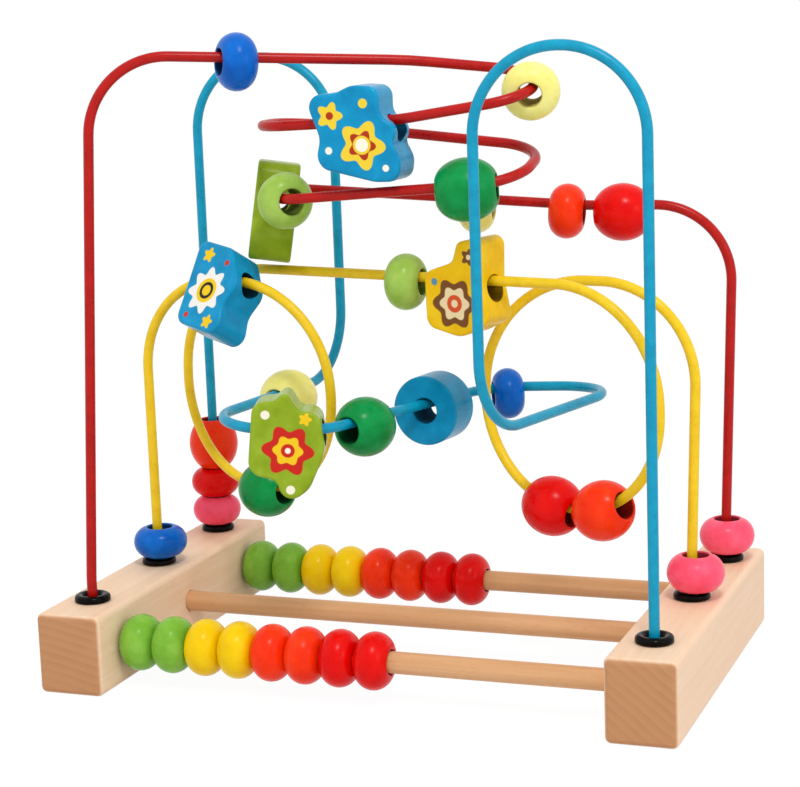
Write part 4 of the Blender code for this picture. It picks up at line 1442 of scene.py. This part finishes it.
SHAPES = (
    SawnShape(
        "red_wire_shape_lobed",
        "sky_blue",
        (
            Rosette(4.0, -5.5, 8.0, Ink.BUTTER, petals=5, depth=0.2, turn=40.0),
            Rosette(4.0, -5.5, 4.8, Ink.BRICK, inner=3.7, petals=5, depth=0.2, turn=40.0),
            Rosette(4.0, -5.5, 2.5, Ink.CREAM),
            Rosette(-8.2, 6.0, 4.4, Ink.BUTTER, petals=5, depth=0.22, turn=10.0),
            Rosette(-8.2, 6.0, 1.5, Ink.BRICK),
            Rosette(-9.5, -7.0, 1.4, Ink.CREAM),
            Rosette(5.5, 10.0, 1.8, Ink.BUTTER),
            Rosette(13.0, -14.5, 1.3, Ink.CREAM),
        ),
        (
            (-13.0, -2.5, 8.0),
            (-18.5, 14.0, 5.0),
            (-5.5, 14.4, 6.0),
            (1.0, 17.0, 10.0),
            (11.8, 15.8, 4.5),
            (11.5, 5.0, 6.0),
            (18.6, 0.5, 4.5),
            (16.0, -5.5, 4.0),
            (19.0, -11.81, 8.0),
            (17.5, -19.81, 5.0),
            (8.0, -19.61, 14.0),
            (-16.0, -13.01, 6.0),
        ),
        (-7.71, -20.0, 213.23),
        (90.0, -2.05, 0.0),
    ),
    SawnShape(
        "red_wire_shape_waisted",
        "olive",
        (),
        (
            (-11.0, 15.0, 6.0),
            (11.0, 15.0, 6.0),
            (9.0, 2.0, 8.0),
            (14.5, -12.0, 7.0),
            (10.0, -24.5, 6.0),
            (-10.0, -24.5, 6.0),
            (-14.5, -12.0, 7.0),
            (-9.0, 2.0, 8.0),
        ),
        (-57.36, 11.57, 183.86),
        (99.0, 0.0, 113.39),
    ),
    SawnShape(
        "yellow_wire_shape_wavy",
        "sky_blue",
        (
            Rosette(-1.0, -5.0, 8.6, Ink.WHITE, petals=8, depth=0.16, turn=20.0),
            Rosette(-1.0, -5.0, 5.2, Ink.YOLK),
            Rosette(-1.0, -5.0, 3.6, Ink.BLACK, inner=2.4),
            Rosette(-4.5, 10.5, 2.6, Ink.YOLK, petals=5, depth=0.25),
            Rosette(3.5, -18.5, 2.4, Ink.YOLK, petals=5, depth=0.25),
            Rosette(6.5, 6.5, 1.2, Ink.TOMATO),
            Rosette(-9.0, -15.0, 1.2, Ink.TOMATO),
        ),
        (
            (-11.5, 18.0, 4.0),
            (7.0, 13.0, 5.0),
            (15.0, -2.0, 6.0),
            (9.5, -11.0, 7.0),
            (11.0, -25.0, 5.0),
            (-14.5, -17.5, 5.0),
            (-13.0, -2.0, 8.0),
        ),
        (-73.21, -6.71, 150.41),
        (60.0, -5.36, -17.84),
    ),
    SawnShape(
        "yellow_wire_shape_tulip",
        "gold",
        (
            Rosette(0.0, -5.5, 8.8, Ink.BROWN, petals=6, depth=0.14),
            Rosette(0.0, -5.5, 6.0, Ink.SAND, petals=6, depth=0.14),
            Rosette(0.0, -5.5, 3.4, Ink.RUST),
            Rosette(0.0, -5.5, 1.5, Ink.SAND),
            Rosette(7.0, 12.5, 2.8, Ink.BROWN, petals=5, depth=0.22),
            Rosette(7.0, 12.5, 1.0, Ink.SAND),
            Rosette(-9.0, 2.6, 1.4, Ink.SLATE_BLUE),
            Rosette(10.8, -9.5, 1.4, Ink.SLATE_BLUE),
        ),
        (
            (-14.0, 6.0, 5.0),
            (-1.0, 10.2, 4.0),
            (1.5, 18.0, 3.5),
            (13.0, 20.5, 4.0),
            (12.5, 3.0, 8.0),
            (15.5, -12.5, 5.0),
            (2.0, -18.5, 9.0),
            (-13.5, -15.0, 5.0),
        ),
        (29.3, -8.1, 152.14),
        (90.0, -0.3, -15.44),
    ),
    SawnShape(
        "blue_wire_shape_pear",
        "olive",
        (
            Rosette(0.5, -5.5, 8.6, Ink.CRIMSON, petals=6, depth=0.16, turn=30.0),
            Rosette(0.5, -5.5, 5.2, Ink.MAIZE, petals=6, depth=0.12, turn=30.0),
            Rosette(0.5, -5.5, 2.6, Ink.CRIMSON),
            Rosette(0.5, -5.5, 1.1, Ink.IVORY),
            Rosette(7.0, 6.5, 2.1, Ink.MAIZE, petals=5, depth=0.22),
            Rosette(-8.0, 8.0, 1.7, Ink.IVORY),
            Rosette(1.5, -20.5, 1.7, Ink.IVORY),
        ),
        (
            (-0.5, 17.2, 2.5),
            (4.5, 9.4, 4.0),
            (12.2, 9.0, 5.0),
            (14.5, -6.0, 15.0),
            (8.5, -20.5, 10.0),
            (-0.5, -27.0, 5.0),
            (-4.0, -17.2, 4.0),
            (-14.8, -14.8, 6.0),
            (-13.0, 12.3, 5.0),
            (-4.5, 13.2, 4.0),
        ),
        (-27.72, -53.39, 102.44),
        (90.0, 2.37, 17.83),
    ),
)


def main() -> None:
    """Build the studio and every sub-assembly in order."""
    logging.basicConfig(level=logging.INFO, format="%(name)s: %(message)s")
    Studio().build()
    Base().build()
    Bushes().build()
    for wire in WIRES:
        wire.build()
    Beads().build()
    for shape in SHAPES:
        shape.build()


if __name__ == "__main__":
    main()
